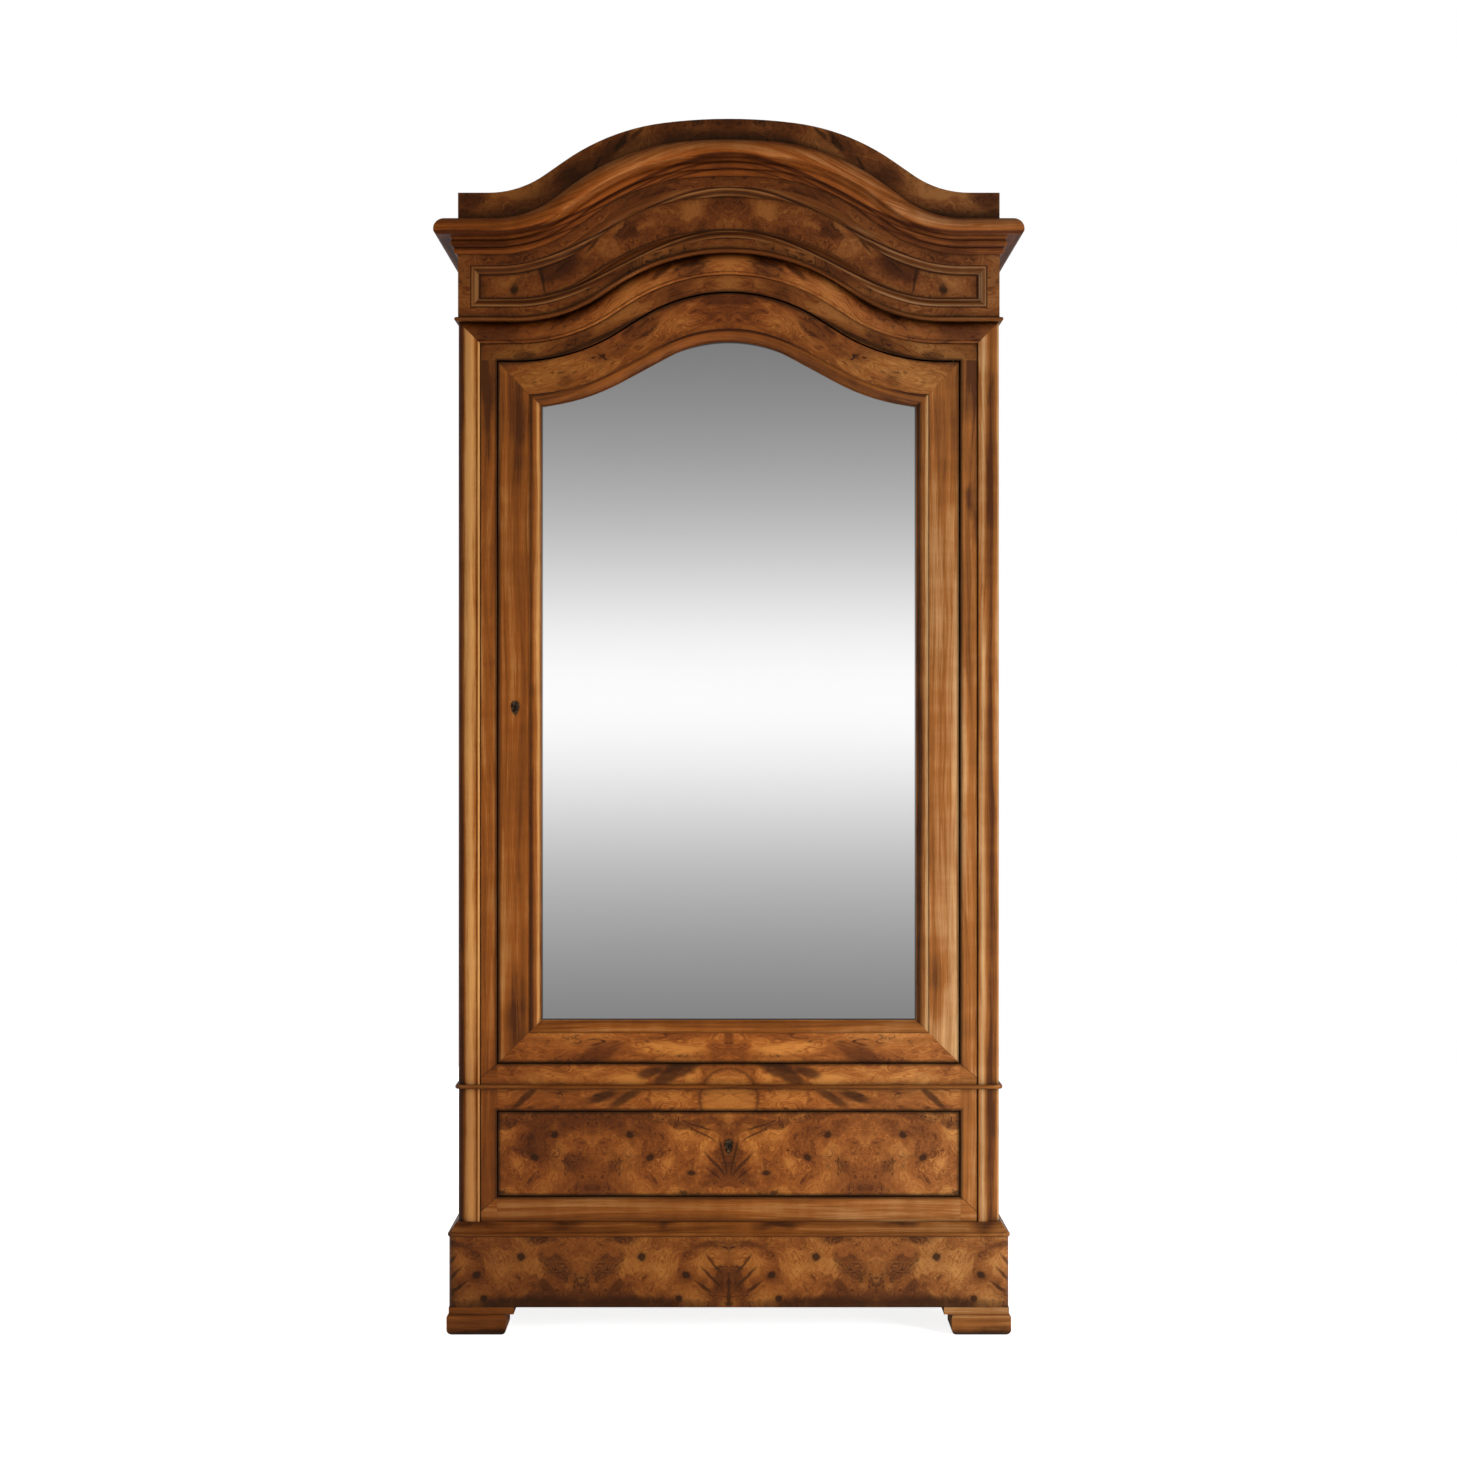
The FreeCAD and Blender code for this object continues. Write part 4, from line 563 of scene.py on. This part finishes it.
def veneer(piece, name, seed, tone=1.0, fold=10.0, arch=None, stretch=1.0, wild=1.0, least=0.12,
           knots=(), smoke=(), marks=(), glow=(), domes=(), gloom=()):
    """Polished veneer with a figure of its own.

    Knots, smoke, marks, glow and domes are ellipses on the first leaf: black eyes, dark
    clouds, black figures, pale clouds, and pale figures with a dark outline. Gloom is smoke
    that doesn't repeat from leaf to leaf.
    """
    settings = bpy.context.scene.cupboard
    finish = Veneer(piece, name, seed, fold, arch, stretch, wild)
    colour, smoky = finish.clouded(smoke, glow, gloom)
    colour = finish.blackened(colour, smoky, domes, marks, knots)
    colour = finish.on_board(colour, seed)
    mottle = finish.noise(finish.place, 2.7, 3) - 0.5
    colour = finish.aged(finish.scaled(colour, (1 + mottle * 0.4) * tone), least)
    roughness = settings.burl.roughness + mottle * 0.1 + (finish.fine - 0.5) * 0.06
    relief = finish.fine * 0.5 + finish.lines * 0.5
    dress(finish.surface(colour, roughness, relief, VENEER_RELIEF, settings.walnut.edge), piece)


def inner_wood(pieces, name, way, seed, tone=1.0):
    """Plain wood that is never polished."""
    settings = bpy.context.scene.cupboard.inner
    finish = Finish(name)
    if way == "up":
        run = finish.z, finish.x, finish.y
    elif way == "level":
        run = finish.x, finish.z + finish.y, finish.y
    elif way == "deep":
        run = finish.y, finish.x, finish.z
    else:
        raise RuntimeError(f"no grain runs {way}")
    pale, height = grain(finish, run, seed)
    colour = finish.shaded(pale, settings.deep, settings.middle, settings.pale, 0.4)
    dust = finish.noise(finish.place, 4.3, 4) - 0.5
    colour = finish.aged(finish.scaled(colour, (1 + dust * 0.45) * tone), least=0.4)
    roughness = settings.roughness + dust * 0.15
    dress(finish.surface(colour, roughness, height, INNER_RELIEF, INNER_EDGE), *pieces)


def metal(pieces, finish, colour, roughness, relief, depth):
    """Bare metal with fine relief."""
    material = finish.surface(
        colour, roughness, relief, depth, METAL_EDGE, metallic=1.0, specular=0.5, sheen=PLAIN_SHEEN,
    )
    dress(material, *pieces)


class CUPBOARD_OT_posts(bpy.types.Operator):
    """Finish the four posts and the arched band that joins the front ones"""
    bl_idname = "cupboard.posts"
    bl_label = "Posts and band"

    def execute(self, context):
        # The stripes on the posts paint the highlights and shade of their rounded profile.
        walnut(
            ["post_front_left", "post_rear_left"], "walnut_post_left", "up", 1.3, 1.1,
            sap=0.04, specular=0.15,
            light_and_shade_stripes=[(0.005, 0.010, 0.45), (0.024, 0.013, -0.5), (0.0414, 0.004, -0.55)],
        )
        walnut(
            ["post_front_right", "post_rear_right"], "walnut_post_right", "up", 4.9, 0.8,
            # The patch beyond the right post darkens its lower part: painted shade.
            specular=0.1, patches=[(0.7, 0.106, 0.24, 0.45)],
            light_and_shade_stripes=[(0.033, 0.009, -0.35), (0.0168, 0.010, 0.25), (0.0017, 0.004, -0.4)],
        )
        veneer(
            "band_moulding", "veneer_band", 5.1, 0.8, arch=DOOR_ARCH, wild=0.6, stretch=0.4, least=0.5,
            glow=[(0.0, 0.16, 0.035, 0.06), (0.2, 0.115, 0.04, 0.03, 20)],
            smoke=[(0.085, 0.155, 0.06, 0.04, 12), (0.3, 0.065, 0.06, 0.03, 25),
                   (0.45, 0.035, 0.06, 0.03)],
            marks=[(0.076, 0.17, 0.05, 0.026, 14), (0.13, 0.145, 0.04, 0.01, 40),
                   (0.27, 0.085, 0.04, 0.01, 40)],
        )
        return {"FINISHED"}


class CUPBOARD_OT_face_frame(bpy.types.Operator):
    """Finish the stiles and rails round the door and the drawer"""
    bl_idname = "cupboard.face_frame"
    bl_label = "Face frame"

    def execute(self, context):
        self.finish_stile("left", 2.2)
        self.finish_stile("right", 6.4)
        walnut(["rail_lower"], "walnut_rail_lower", "around", 7.7, 0.84)
        veneer(
            "rail_waist", "veneer_waist", 2.6, 1.0, wild=0.5, stretch=0.4,
            domes=[(0.0, 0.026, 0.066, 0.062)],
            glow=[(0.075, 0.065, 0.03, 0.03, 30), (0.11, 0.02, 0.06, 0.04), (0.19, 0.06, 0.03, 0.02)],
            smoke=[(0.23, 0.03, 0.06, 0.014), (0.13, 0.085, 0.06, 0.012)],
            marks=[(0.085, 0.083, 0.044, 0.018, 25), (0.118, 0.072, 0.052, 0.02, 35),
                   (0.156, 0.076, 0.04, 0.016, 20), (0.205, 0.026, 0.048, 0.014, 30),
                   (0.25, 0.028, 0.048, 0.013, 22), (0.405, 0.024, 0.05, 0.01, 42)],
        )
        veneer(
            "rail_arched", "veneer_rail_arched", 9.2, 0.52, arch=DOOR_ARCH, wild=0.6, stretch=0.4,
            glow=[(0.0, 0.147, 0.03, 0.04), (0.19, 0.107, 0.05, 0.03, 25)],
            smoke=[(0.1, 0.137, 0.06, 0.03, 12), (0.3, 0.047, 0.06, 0.03, 20),
                   (0.4, 0.017, 0.03, 0.02)],
        )
        return {"FINISHED"}

    def finish_stile(self, side, seed):
        """Grain up the stile, and along the short stretches that run on from the rails."""
        piece = "frame_stile_" + side
        finish = Finish("walnut_stile_" + side, foot=node_box(piece)[0].z)
        door_slope, drawer_slope, joint_width = 0.85, 0.9, 0.0014
        out = abs(finish.x) - OPENING_HALF
        over_bead = finish.z.above(BEAD_FOOT)
        under_door = WAIST_HIGH.z - out * door_slope - finish.z
        under_drawer = LOWER_RAIL_TOP - out * drawer_slope - finish.z
        level = (under_door.above(0) * over_bead).larger(under_drawer.above(0))
        joint = (1 - abs(under_door).rise(0, joint_width)) * over_bead
        joint = joint.larger(1 - abs(under_drawer).rise(0, joint_width))
        dark = finish.patched([
            (-0.482, 1.676, 0.02, 0.1), (0.484, 1.736, 0.014, 0.15), (0.484, 1.426, 0.012, 0.09),
        ])
        # Painted shade: the stile darkens towards the top.
        high = finish.z.rise(POST_TOP - 0.4, POST_TOP)
        shade = joint * 0.5 + level * 0.05 + dark * 0.4 + high * 0.12
        run = choose(level, finish.z, finish.x), choose(level, finish.x, finish.z), finish.y
        dress(walnut_surface(finish, run, seed, 0.95, shade), piece)


class CUPBOARD_OT_feet(bpy.types.Operator):
    """Finish the four block feet"""
    bl_idname = "cupboard.feet"
    bl_label = "Feet"

    def execute(self, context):
        feet = ["foot_front_left", "foot_front_right", "foot_rear_left", "foot_rear_right"]
        # The patches darken the feet along the floor: painted shade.
        patches = [(-0.5, 0.0, 0.16, 0.018), (0.5, 0.0, 0.16, 0.018)]
        walnut(feet, "walnut_feet", "around", 3.3, 0.75, patches=patches)
        return {"FINISHED"}


class CUPBOARD_OT_plinth(bpy.types.Operator):
    """Finish the plinth and the moulding on it"""
    bl_idname = "cupboard.plinth"
    bl_label = "Plinth"

    def execute(self, context):
        # The widest smoke and the widest mark darken the lower edge of the front: painted shade.
        veneer(
            "plinth_front", "burl_plinth", 11.3, 0.71, fold=0.2905,
            knots=[(0.171, 0.0995), (0.0847, 0.064), (0.0985, 0.017)],
            smoke=[(0.0, 0.065, 0.03, 0.09), (0.03, 0.13, 0.07, 0.02), (0.25, 0.075, 0.06, 0.03, 30),
                   (0.28, 0.025, 0.05, 0.025, -20), (0.22, 0.03, 0.03, 0.02, 45),
                   (0.2, 0.0, 0.22, 0.035), (0.2, 0.135, 0.06, 0.015)],
            marks=[(0.0, 0.03, 0.006, 0.045), (0.034, 0.057, 0.042, 0.005, -45),
                   (0.03, 0.087, 0.036, 0.004, -52), (0.05, 0.04, 0.03, 0.004, -35),
                   (0.2, 0.003, 0.24, 0.026)],
            glow=[(0.13, 0.075, 0.06, 0.045), (0.055, 0.095, 0.03, 0.03, -40)],
        )
        walnut(["plinth_left", "plinth_right"], "walnut_plinth_sides", "deep", 8.8, 0.9)
        inner_wood(["plinth_rear"], "plain_plinth_rear", "level", 1.9)
        walnut(["plinth_moulding"], "walnut_base_moulding", "around", 5.6, 0.69, patches=[
            (-0.5, 0.028, 0.06, 0.012), (-0.33, 0.020, 0.05, 0.014), (-0.12, 0.028, 0.08, 0.01),
            (0.1, 0.022, 0.06, 0.012), (0.34, 0.027, 0.06, 0.01), (0.51, 0.021, 0.05, 0.016),
        ])
        return {"FINISHED"}


class CUPBOARD_OT_sides(bpy.types.Operator):
    """Finish the rails and the sunk panels of the sides"""
    bl_idname = "cupboard.sides"
    bl_label = "Sides"

    def execute(self, context):
        walnut(["side_rails"], "walnut_side_rails", "deep", 12.4, 0.9)
        walnut(["side_panels"], "walnut_side_panels", "up", 14.1, 0.92)
        return {"FINISHED"}


class CUPBOARD_OT_beads(bpy.types.Operator):
    """Finish the beads at the waist and at the neck"""
    bl_idname = "cupboard.beads"
    bl_label = "Beads"

    def execute(self, context):
        walnut(["waist_bead"], "walnut_waist_bead", "around", 15.5, 0.8, edge=False)
        walnut(["neck_bead"], "walnut_neck_bead", "around", 16.2, 0.5, DOOR_ARCH, edge=False)
        return {"FINISHED"}


class CUPBOARD_OT_frieze(bpy.types.Operator):
    """Finish the frieze, its sunk panel and the moulding round it"""
    bl_idname = "cupboard.frieze"
    bl_label = "Frieze"

    def execute(self, context):
        veneer(
            "frieze_board", "veneer_frieze", 17.7, 0.5, arch=DOOR_ARCH, wild=0.7, stretch=0.5,
            smoke=[(0.2, 0.1, 0.1, 0.05, 20)],
        )
        veneer(
            "frieze_panel", "burl_frieze_panel", 18.4, 0.52,
            knots=[(0.424, 0.036)],
            glow=[(0.08, 0.195, 0.05, 0.02, 8), (0.17, 0.163, 0.025, 0.02, 25)],
            smoke=[(0.2, 0.158, 0.05, 0.03, 20), (0.3, 0.093, 0.07, 0.04, 30),
                   (0.0, 0.203, 0.02, 0.02)],
            marks=[(0.368, 0.058, 0.004, 0.05, 12), (0.33, 0.083, 0.03, 0.004, 40),
                   (0.27, 0.123, 0.03, 0.004, 50), (0.424, 0.038, 0.012, 0.02)],
        )
        self.finish_moulding()
        finish = Finish("walnut_frieze_returns")
        rear = abs(finish.facing_y).above(0.5)
        run = choose(rear, finish.y, finish.x), finish.z, choose(rear, finish.x, finish.y)
        dress(walnut_surface(finish, run, 20.6, 0.8), "frieze_returns")
        return {"FINISHED"}

    def finish_moulding(self):
        """Grain along each stretch, and painted shade in dark lines and painted highlights in pale
        lines along its profile.
        """
        finish = Finish("walnut_frieze_moulding")
        under_cornice, ridge, ridge_width, line_width = 0.0215, 0.0115, 0.005, 0.003
        profile = [(0.0, 0.6), (0.004, -0.35), (0.010, 0.2), (0.0155, -0.35), (0.019, 0.6)]
        side = FRIEZE_HIGH.x - abs(finish.x)
        bow = over_arch(finish, DOOR_ARCH)
        from_head = -under_cornice - over_arch(finish, CORNICE_ARCH)
        level = (bow - (FRIEZE_LOW.z - DOOR_SPRING)).smaller(from_head)
        upright = (level - side).above(0)
        # Painted highlight along the ridge of the uprights, and painted shade and highlights in lines
        # along the profile.
        shade = side.stripe(ridge, ridge_width) * upright * -0.6 + 0.06
        for place, share in profile:
            shade = side.smaller(level).stripe(place, line_width) * share + shade
        run = choose(upright, finish.x, finish.z), choose(upright, bow, finish.x), finish.y
        dress(walnut_surface(finish, run, 19.0, 0.44, shade, edge=False), "frieze_moulding")


class CUPBOARD_OT_cornice(bpy.types.Operator):
    """Finish the cornice"""
    bl_idname = "cupboard.cornice"
    bl_label = "Cornice"

    def execute(self, context):
        finish = Finish("walnut_cornice")
        # Painted shade below the nose and in the grooves of the profile.
        nose_low, nose_high = 0.03, 0.045
        grooves = [(0.0135, 0.0022), (0.0265, 0.0022), (0.037, 0.005)]
        lift = over_arch(finish, CORNICE_ARCH)
        shade = (1 - lift.rise(nose_low, nose_high)) * 0.15 + 0.02
        for place, width in grooves:
            shade = lift.stripe(place, width) * 0.45 + shade
        material = walnut_surface(
            finish, around_front(finish, lift), 21.9, 1.0, shade, edge=False, least=0.2, specular=0.1,
        )
        dress(material, "cornice_front", "cornice_left", "cornice_right")
        return {"FINISHED"}


class CUPBOARD_OT_crest(bpy.types.Operator):
    """Finish the crest and what stands behind it"""
    bl_idname = "cupboard.crest"
    bl_label = "Crest"

    def execute(self, context):
        veneer(
            "crest_board", "burl_crest", 23.3, 0.5, arch=CREST_ARCH, wild=0.9, stretch=0.6,
            smoke=[(0.0, 0.224, 0.2, 0.05, 3), (0.22, 0.179, 0.05, 0.03, 30),
                   (0.32, 0.114, 0.05, 0.03, 30), (0.49, 0.079, 0.05, 0.04)],
            marks=[(0.213, 0.186, 0.036, 0.009, 52), (0.18, 0.206, 0.03, 0.007, 45),
                   (0.26, 0.144, 0.03, 0.006, 60)],
            glow=[(0.41, 0.084, 0.12, 0.05, 15), (0.2, 0.164, 0.04, 0.02, 25)],
        )
        inner_wood(["top_board", "crest_blocks"], "plain_top", "level", 24.7, 0.8)
        return {"FINISHED"}


class CUPBOARD_OT_back(bpy.types.Operator):
    """Finish the framed back"""
    bl_idname = "cupboard.back"
    bl_label = "Back"

    def execute(self, context):
        inner_wood(["back_frame"], "plain_back_frame", "level", 25.1, 0.8)
        inner_wood(["back_panels"], "plain_back_panels", "up", 26.8, 0.85)
        return {"FINISHED"}


class CUPBOARD_OT_inside(bpy.types.Operator):
    """Finish the floor, the shelves, their cleats and the drawer runners"""
    bl_idname = "cupboard.inside"
    bl_label = "Inside"

    def execute(self, context):
        inner_wood(["cabinet_floor"], "plain_floor", "level", 27.2)
        inner_wood(["shelf_lower", "shelf_upper"], "plain_shelves", "level", 28.5)
        inner_wood(["shelf_cleats", "drawer_runners"], "plain_cleats", "deep", 29.9, 0.9)
        return {"FINISHED"}


class CUPBOARD_OT_door(bpy.types.Operator):
    """Finish the stiles and rails of the door"""
    bl_idname = "cupboard.door"
    bl_label = "Door frame"

    def execute(self, context):
        patches = [
            (-0.42, 1.288, 0.05, 0.2), (0.42, 1.288, 0.05, 0.25), (-0.425, 0.085, 0.04, 0.12),
            (0.415, 0.165, 0.03, 0.12),
        ]
        walnut(
            ["door_stile_lock"], "walnut_door_lock_stile", "up", 31.4, 0.95, patches=patches,
        )
        walnut(
            ["door_stile_hinge"], "walnut_door_hinge_stile", "up", 33.7, 0.9, sap=0.16, patches=patches,
        )
        veneer(
            "door_rail_arched", "veneer_door_head", 34.2, 0.72, arch=DOOR_ARCH, wild=0.5, stretch=0.35,
            glow=[(0.1, 0.1437, 0.06, 0.03, 20)],
            smoke=[(0.02, 0.1837, 0.04, 0.015), (0.33, 0.0337, 0.05, 0.03),
                   (0.17, 0.1337, 0.05, 0.02, 25)],
        )
        veneer(
            "door_rail_foot", "veneer_door_foot", 35.6, 1.05, wild=0.5, stretch=0.35,
            glow=[(0.1, 0.03, 0.1, 0.02)],
            smoke=[(0.25, 0.025, 0.05, 0.02, 20), (0.0, 0.045, 0.012, 0.02)],
        )
        return {"FINISHED"}


class CUPBOARD_OT_mirror(bpy.types.Operator):
    """Finish the mirror, its moulding and the board behind it"""
    bl_idname = "cupboard.mirror"
    bl_label = "Mirror"

    def execute(self, context):
        self.finish_moulding()
        self.finish_glass(context.scene.cupboard.metal.silver)
        inner_wood(["mirror_backing"], "plain_backing", "up", 37.9)
        return {"FINISHED"}

    def finish_moulding(self):
        """Grain along each stretch, painted highlights and shade in stripes up the sides, and painted
        shade on the head.
        """
        finish = Finish("walnut_mirror_moulding")
        left, right, groove = -1, 1, 0.004
        # Pale stripes are painted highlights and dark ones painted shade.
        light_and_shade_stripes = [
            (left, 0.0192, 0.005, -0.45), (left, 0.006, 0.006, 0.4),
            (right, 0.0195, 0.008, 0.3), (right, 0.004, 0.005, -0.45),
        ]
        side = MOULD_HIGH.x - abs(finish.x)
        foot = finish.z - MOULD_LOW.z
        head = -over_arch(finish, MOULD_ARCH)
        level = (side - foot).above(0).larger((side - head).above(0))
        upright = 1 - level
        shade = 0.0
        for hand, inward, width, share in light_and_shade_stripes:
            shade = finish.x.stripe(hand * (MOULD_HIGH.x - inward), width) * upright * share + shade
        # Painted shade on the head, darkest along its outer groove.
        high = finish.z.rise(DOOR_SPRING - 0.203, DOOR_SPRING - 0.083)
        outer = 1 - abs(head - groove).rise(0.0, groove)
        shade = high * (level * 0.17 + 0.08) + high * level * outer * 0.3 + shade
        upper = finish.z.above((MOULD_LOW.z + MOULD_HIGH.z) / 2)
        bow = choose(upper, finish.z, head)
        run = choose(level, finish.z, finish.x), choose(level, finish.x, bow), finish.y
        dress(walnut_surface(finish, run, 36.6, 0.92, shade, edge=False), "mirror_moulding")

    def finish_glass(self, bright):
        """Silvered glass, a little hazy, with a dark line along its edge: a painted reflection of the
        moulding's lip, partly worn silvering.
        """
        hazy, dark = (0.9, 0.9, 0.9), (0.08, 0.06, 0.05)
        silver = Finish("silvered_mirror")
        haze = silver.noise(silver.place, 6, 3)
        colour = silver.mix(haze.rise(0.2, 0.9) * 0.1, bright, hazy)
        # Painted dark reflection of the moulding's lip along the edge, partly worn silvering.
        edge = (abs(silver.x) - MIRROR_HALF).larger(over_arch(silver, MIRROR_ARCH))
        edge = edge.larger(MIRROR_FOOT - silver.z)
        colour = silver.mix(edge.rise(-0.004, -0.001) * 0.85, colour, dark)
        silver.surface(colour, 0.0, metallic=1.0, specular=0.5, sheen=PLAIN_SHEEN)
        dress(silver.material, "mirror_glass")


class CUPBOARD_OT_drawer(bpy.types.Operator):
    """Finish the drawer"""
    bl_idname = "cupboard.drawer"
    bl_label = "Drawer"

    def execute(self, context):
        veneer(
            "drawer_front", "burl_drawer", 38.3, 0.93, fold=0.2698,
            knots=[(0.0745, 0.0444), (0.156, 0.075), (0.196, 0.12)],
            smoke=[(0.065, 0.148, 0.06, 0.014), (0.0, 0.078, 0.02, 0.07), (0.18, 0.158, 0.05, 0.012)],
            marks=[(0.012, 0.078, 0.055, 0.004, -79), (0.028, 0.063, 0.042, 0.004, -47),
                   (0.028, 0.042, 0.028, 0.003, -40), (0.06, 0.138, 0.05, 0.003, -18),
                   (0.05, 0.121, 0.045, 0.003, -32), (0.09, 0.007, 0.014, 0.007)],
            glow=[(0.1, 0.058, 0.05, 0.03), (0.03, 0.108, 0.02, 0.025, -50)],
            gloom=[(-0.3, 0.153, 0.19, 0.04), (-0.4, 0.088, 0.06, 0.05), (-0.3, 0.058, 0.05, 0.024)],
        )
        inner_wood(["drawer_side_left", "drawer_side_right"], "plain_drawer_sides", "deep", 39.4)
        inner_wood(["drawer_bottom", "drawer_back"], "plain_drawer_boards", "level", 40.8)
        return {"FINISHED"}


class CUPBOARD_OT_metalwork(bpy.types.Operator):
    """Finish the locks, the plates round their keyholes and the pivots"""
    bl_idname = "cupboard.metalwork"
    bl_label = "Metalwork"

    def execute(self, context):
        settings = context.scene.cupboard.metal
        brass = Finish("aged_brass")
        wear = brass.noise(brass.place, 260, 4, 0.6).rise(0.35, 0.65)
        colour = brass.mix(wear, settings.tarnish, settings.brass)
        plates = ["door_escutcheon", "drawer_escutcheon", "door_pivot_pins", "door_pivot_plates"]
        metal(plates, brass, colour, 0.5 - wear * 0.2, wear, 0.00005)
        steel = Finish("oiled_steel")
        brushed = steel.noise(steel.vector(steel.x * 900, steel.y * 900, steel.z * 40), detail=2)
        stain = steel.noise(steel.place, 90, 3)
        colour = steel.scaled(settings.steel, 0.5 + stain * 0.7)
        locks = ["door_lock", "drawer_lock", "door_lock_bolt", "drawer_lock_bolt"]
        metal(locks, steel, colour, 0.35 + brushed * 0.2, brushed, 0.00003)
        return {"FINISHED"}


class CUPBOARD_OT_stage(bpy.types.Operator):
    """Make the floor, the lamps, the background and the camera"""
    bl_idname = "cupboard.stage"
    bl_label = "Stage"

    def execute(self, context):
        scene = context.scene
        settings = scene.cupboard.stage
        self.make_floor(scene, settings)
        self.make_lamps(scene, settings)
        self.make_world(scene, settings)
        self.make_camera(scene, settings)
        scene.view_settings.view_transform = "Standard"
        return {"FINISHED"}

    def make_floor(self, scene, settings):
        """Grey floor that keeps the shadow, and glows white for the camera alone."""
        half = settings.floor_size / 2
        grey, glow_strength = (0.8, 0.8, 0.8), 0.86
        corners = [(-half, -half, 0), (half, -half, 0), (half, half, 0), (-half, half, 0)]
        mesh = bpy.data.meshes.new("floor")
        mesh.from_pydata(corners, [], [(0, 1, 2, 3)])
        floor = bpy.data.objects.new("floor", mesh)
        scene.collection.objects.link(floor)
        finish = Finish("pale_floor")
        seen = finish.field("LightPath", None, None, 0)
        matt = finish.field("BsdfDiffuse", None, {"Color": grey})
        glow = finish.field("Emission", None, {"Color": (1, 1, 1), "Strength": glow_strength})
        both = finish.field("AddShader", None, {0: matt, 1: glow})
        shown = finish.field("MixShader", None, {0: seen, 1: matt, 2: both})
        finish.node("OutputMaterial", None, {"Surface": shown})
        mesh.materials.append(finish.material)

    def make_lamps(self, scene, settings):
        lamps = [
            ("key_lamp", (2.05, -2.05, 0.85), (0.1, 0, 0.9), (1.0, 1.0), settings.key),
            ("left_lamp", (-2.2, -2.6, 1.1), (-0.3, -0.2, 1.1), (0.7, 1.4), settings.left),
            ("top_lamp", (0.6, -3.0, 3.4), (0, 0, 1.4), (1.4, 1.4), settings.top),
            ("rear_lamp", (-3.4, 4.0, 2.2), (0, 0.3, 1.2), (1.6, 1.6), settings.rear),
        ]
        for name, place, target, size, power in lamps:
            self.make_lamp(scene, name, Vector(place), Vector(target), size, power)

    def make_lamp(self, scene, name, place, target, size, power):
        """Soft rectangular lamp that looks at a point and isn't seen in the mirror."""
        data = bpy.data.lights.new(name, "AREA")
        data.shape = "RECTANGLE"
        data.size, data.size_y = size
        data.energy = power
        made = bpy.data.objects.new(name, data)
        made.location = place
        made.rotation_euler = (target - place).to_track_quat("-Z", "Y").to_euler()
        made.visible_glossy = False
        made.visible_camera = False
        scene.collection.objects.link(made)

    def make_world(self, scene, settings):
        """White behind the cupboard, even light on it, and a soft bright band for its mirror."""
        band_middle, band_width, band_least = 0.0103, 0.059, 0.2
        world = bpy.data.worlds.new("studio")
        world.use_nodes = True
        scene.world = world
        studio = Nodes(world.node_tree)
        up = studio.parts(studio.field("TexCoord"))[2]
        off = (up - band_middle) / band_width
        band = (1 / (1 + off * off)).larger(band_least)
        rays = studio.node("LightPath").outputs
        camera = Field(studio, rays["Is Camera Ray"])
        through = Field(studio, rays["Is Transmission Ray"])
        mirrored = Field(studio, rays["Is Glossy Ray"])
        light = choose(mirrored, settings.ambient, band)
        strength = choose(camera.larger(through), light, 1)
        background = studio.field("Background", None, {"Color": (1, 1, 1), "Strength": strength})
        studio.node("OutputWorld", None, {"Surface": background})

    def make_camera(self, scene, settings):
        """Level camera in front of the cupboard, a hair to the left of its middle."""
        off_middle = -0.0006
        data = bpy.data.cameras.new("camera")
        data.sensor_width = 36
        data.lens = data.sensor_width * settings.camera_distance / settings.picture_width
        camera = bpy.data.objects.new("camera", data)
        camera.location = (off_middle, FRONT - settings.camera_distance, settings.camera_height)
        camera.rotation_euler = (math.radians(90), 0, 0)
        scene.collection.objects.link(camera)
        scene.camera = camera


OPERATORS = (
    CUPBOARD_OT_posts, CUPBOARD_OT_face_frame, CUPBOARD_OT_feet, CUPBOARD_OT_plinth, CUPBOARD_OT_sides,
    CUPBOARD_OT_beads, CUPBOARD_OT_frieze, CUPBOARD_OT_cornice, CUPBOARD_OT_crest, CUPBOARD_OT_back,
    CUPBOARD_OT_inside, CUPBOARD_OT_door, CUPBOARD_OT_mirror, CUPBOARD_OT_drawer, CUPBOARD_OT_metalwork,
    CUPBOARD_OT_stage,
)


class CUPBOARD_PT_panel(bpy.types.Panel):
    """Steps that finish the cupboard"""
    bl_idname = "CUPBOARD_PT_panel"
    bl_label = "Linen Cupboard"
    bl_space_type = "VIEW_3D"
    bl_region_type = "UI"
    bl_category = "Cupboard"

    def draw(self, context):
        settings = context.scene.cupboard
        for group in (settings.walnut, settings.burl, settings.inner, settings.metal, settings.stage):
            box = self.layout.box()
            for name in group.__annotations__:
                box.prop(group, name)
        for operator in OPERATORS:
            self.layout.operator(operator.bl_idname)


CLASSES = (
    WalnutSettings, BurlSettings, InnerSettings, MetalSettings, StageSettings, CupboardSettings,
    *OPERATORS, CUPBOARD_PT_panel,
)


def register():
    for item in CLASSES:
        bpy.utils.register_class(item)
    bpy.types.Scene.cupboard = PointerProperty(
        type=CupboardSettings, name="Cupboard", description="Settings of the cupboard")


def unregister():
    del bpy.types.Scene.cupboard
    for item in reversed(CLASSES):
        bpy.utils.unregister_class(item)


def main():
    register()
    for operator in OPERATORS:
        family, name = operator.bl_idname.split(".")
        getattr(getattr(bpy.ops, family), name)()


if __name__ == "__main__":
    main()
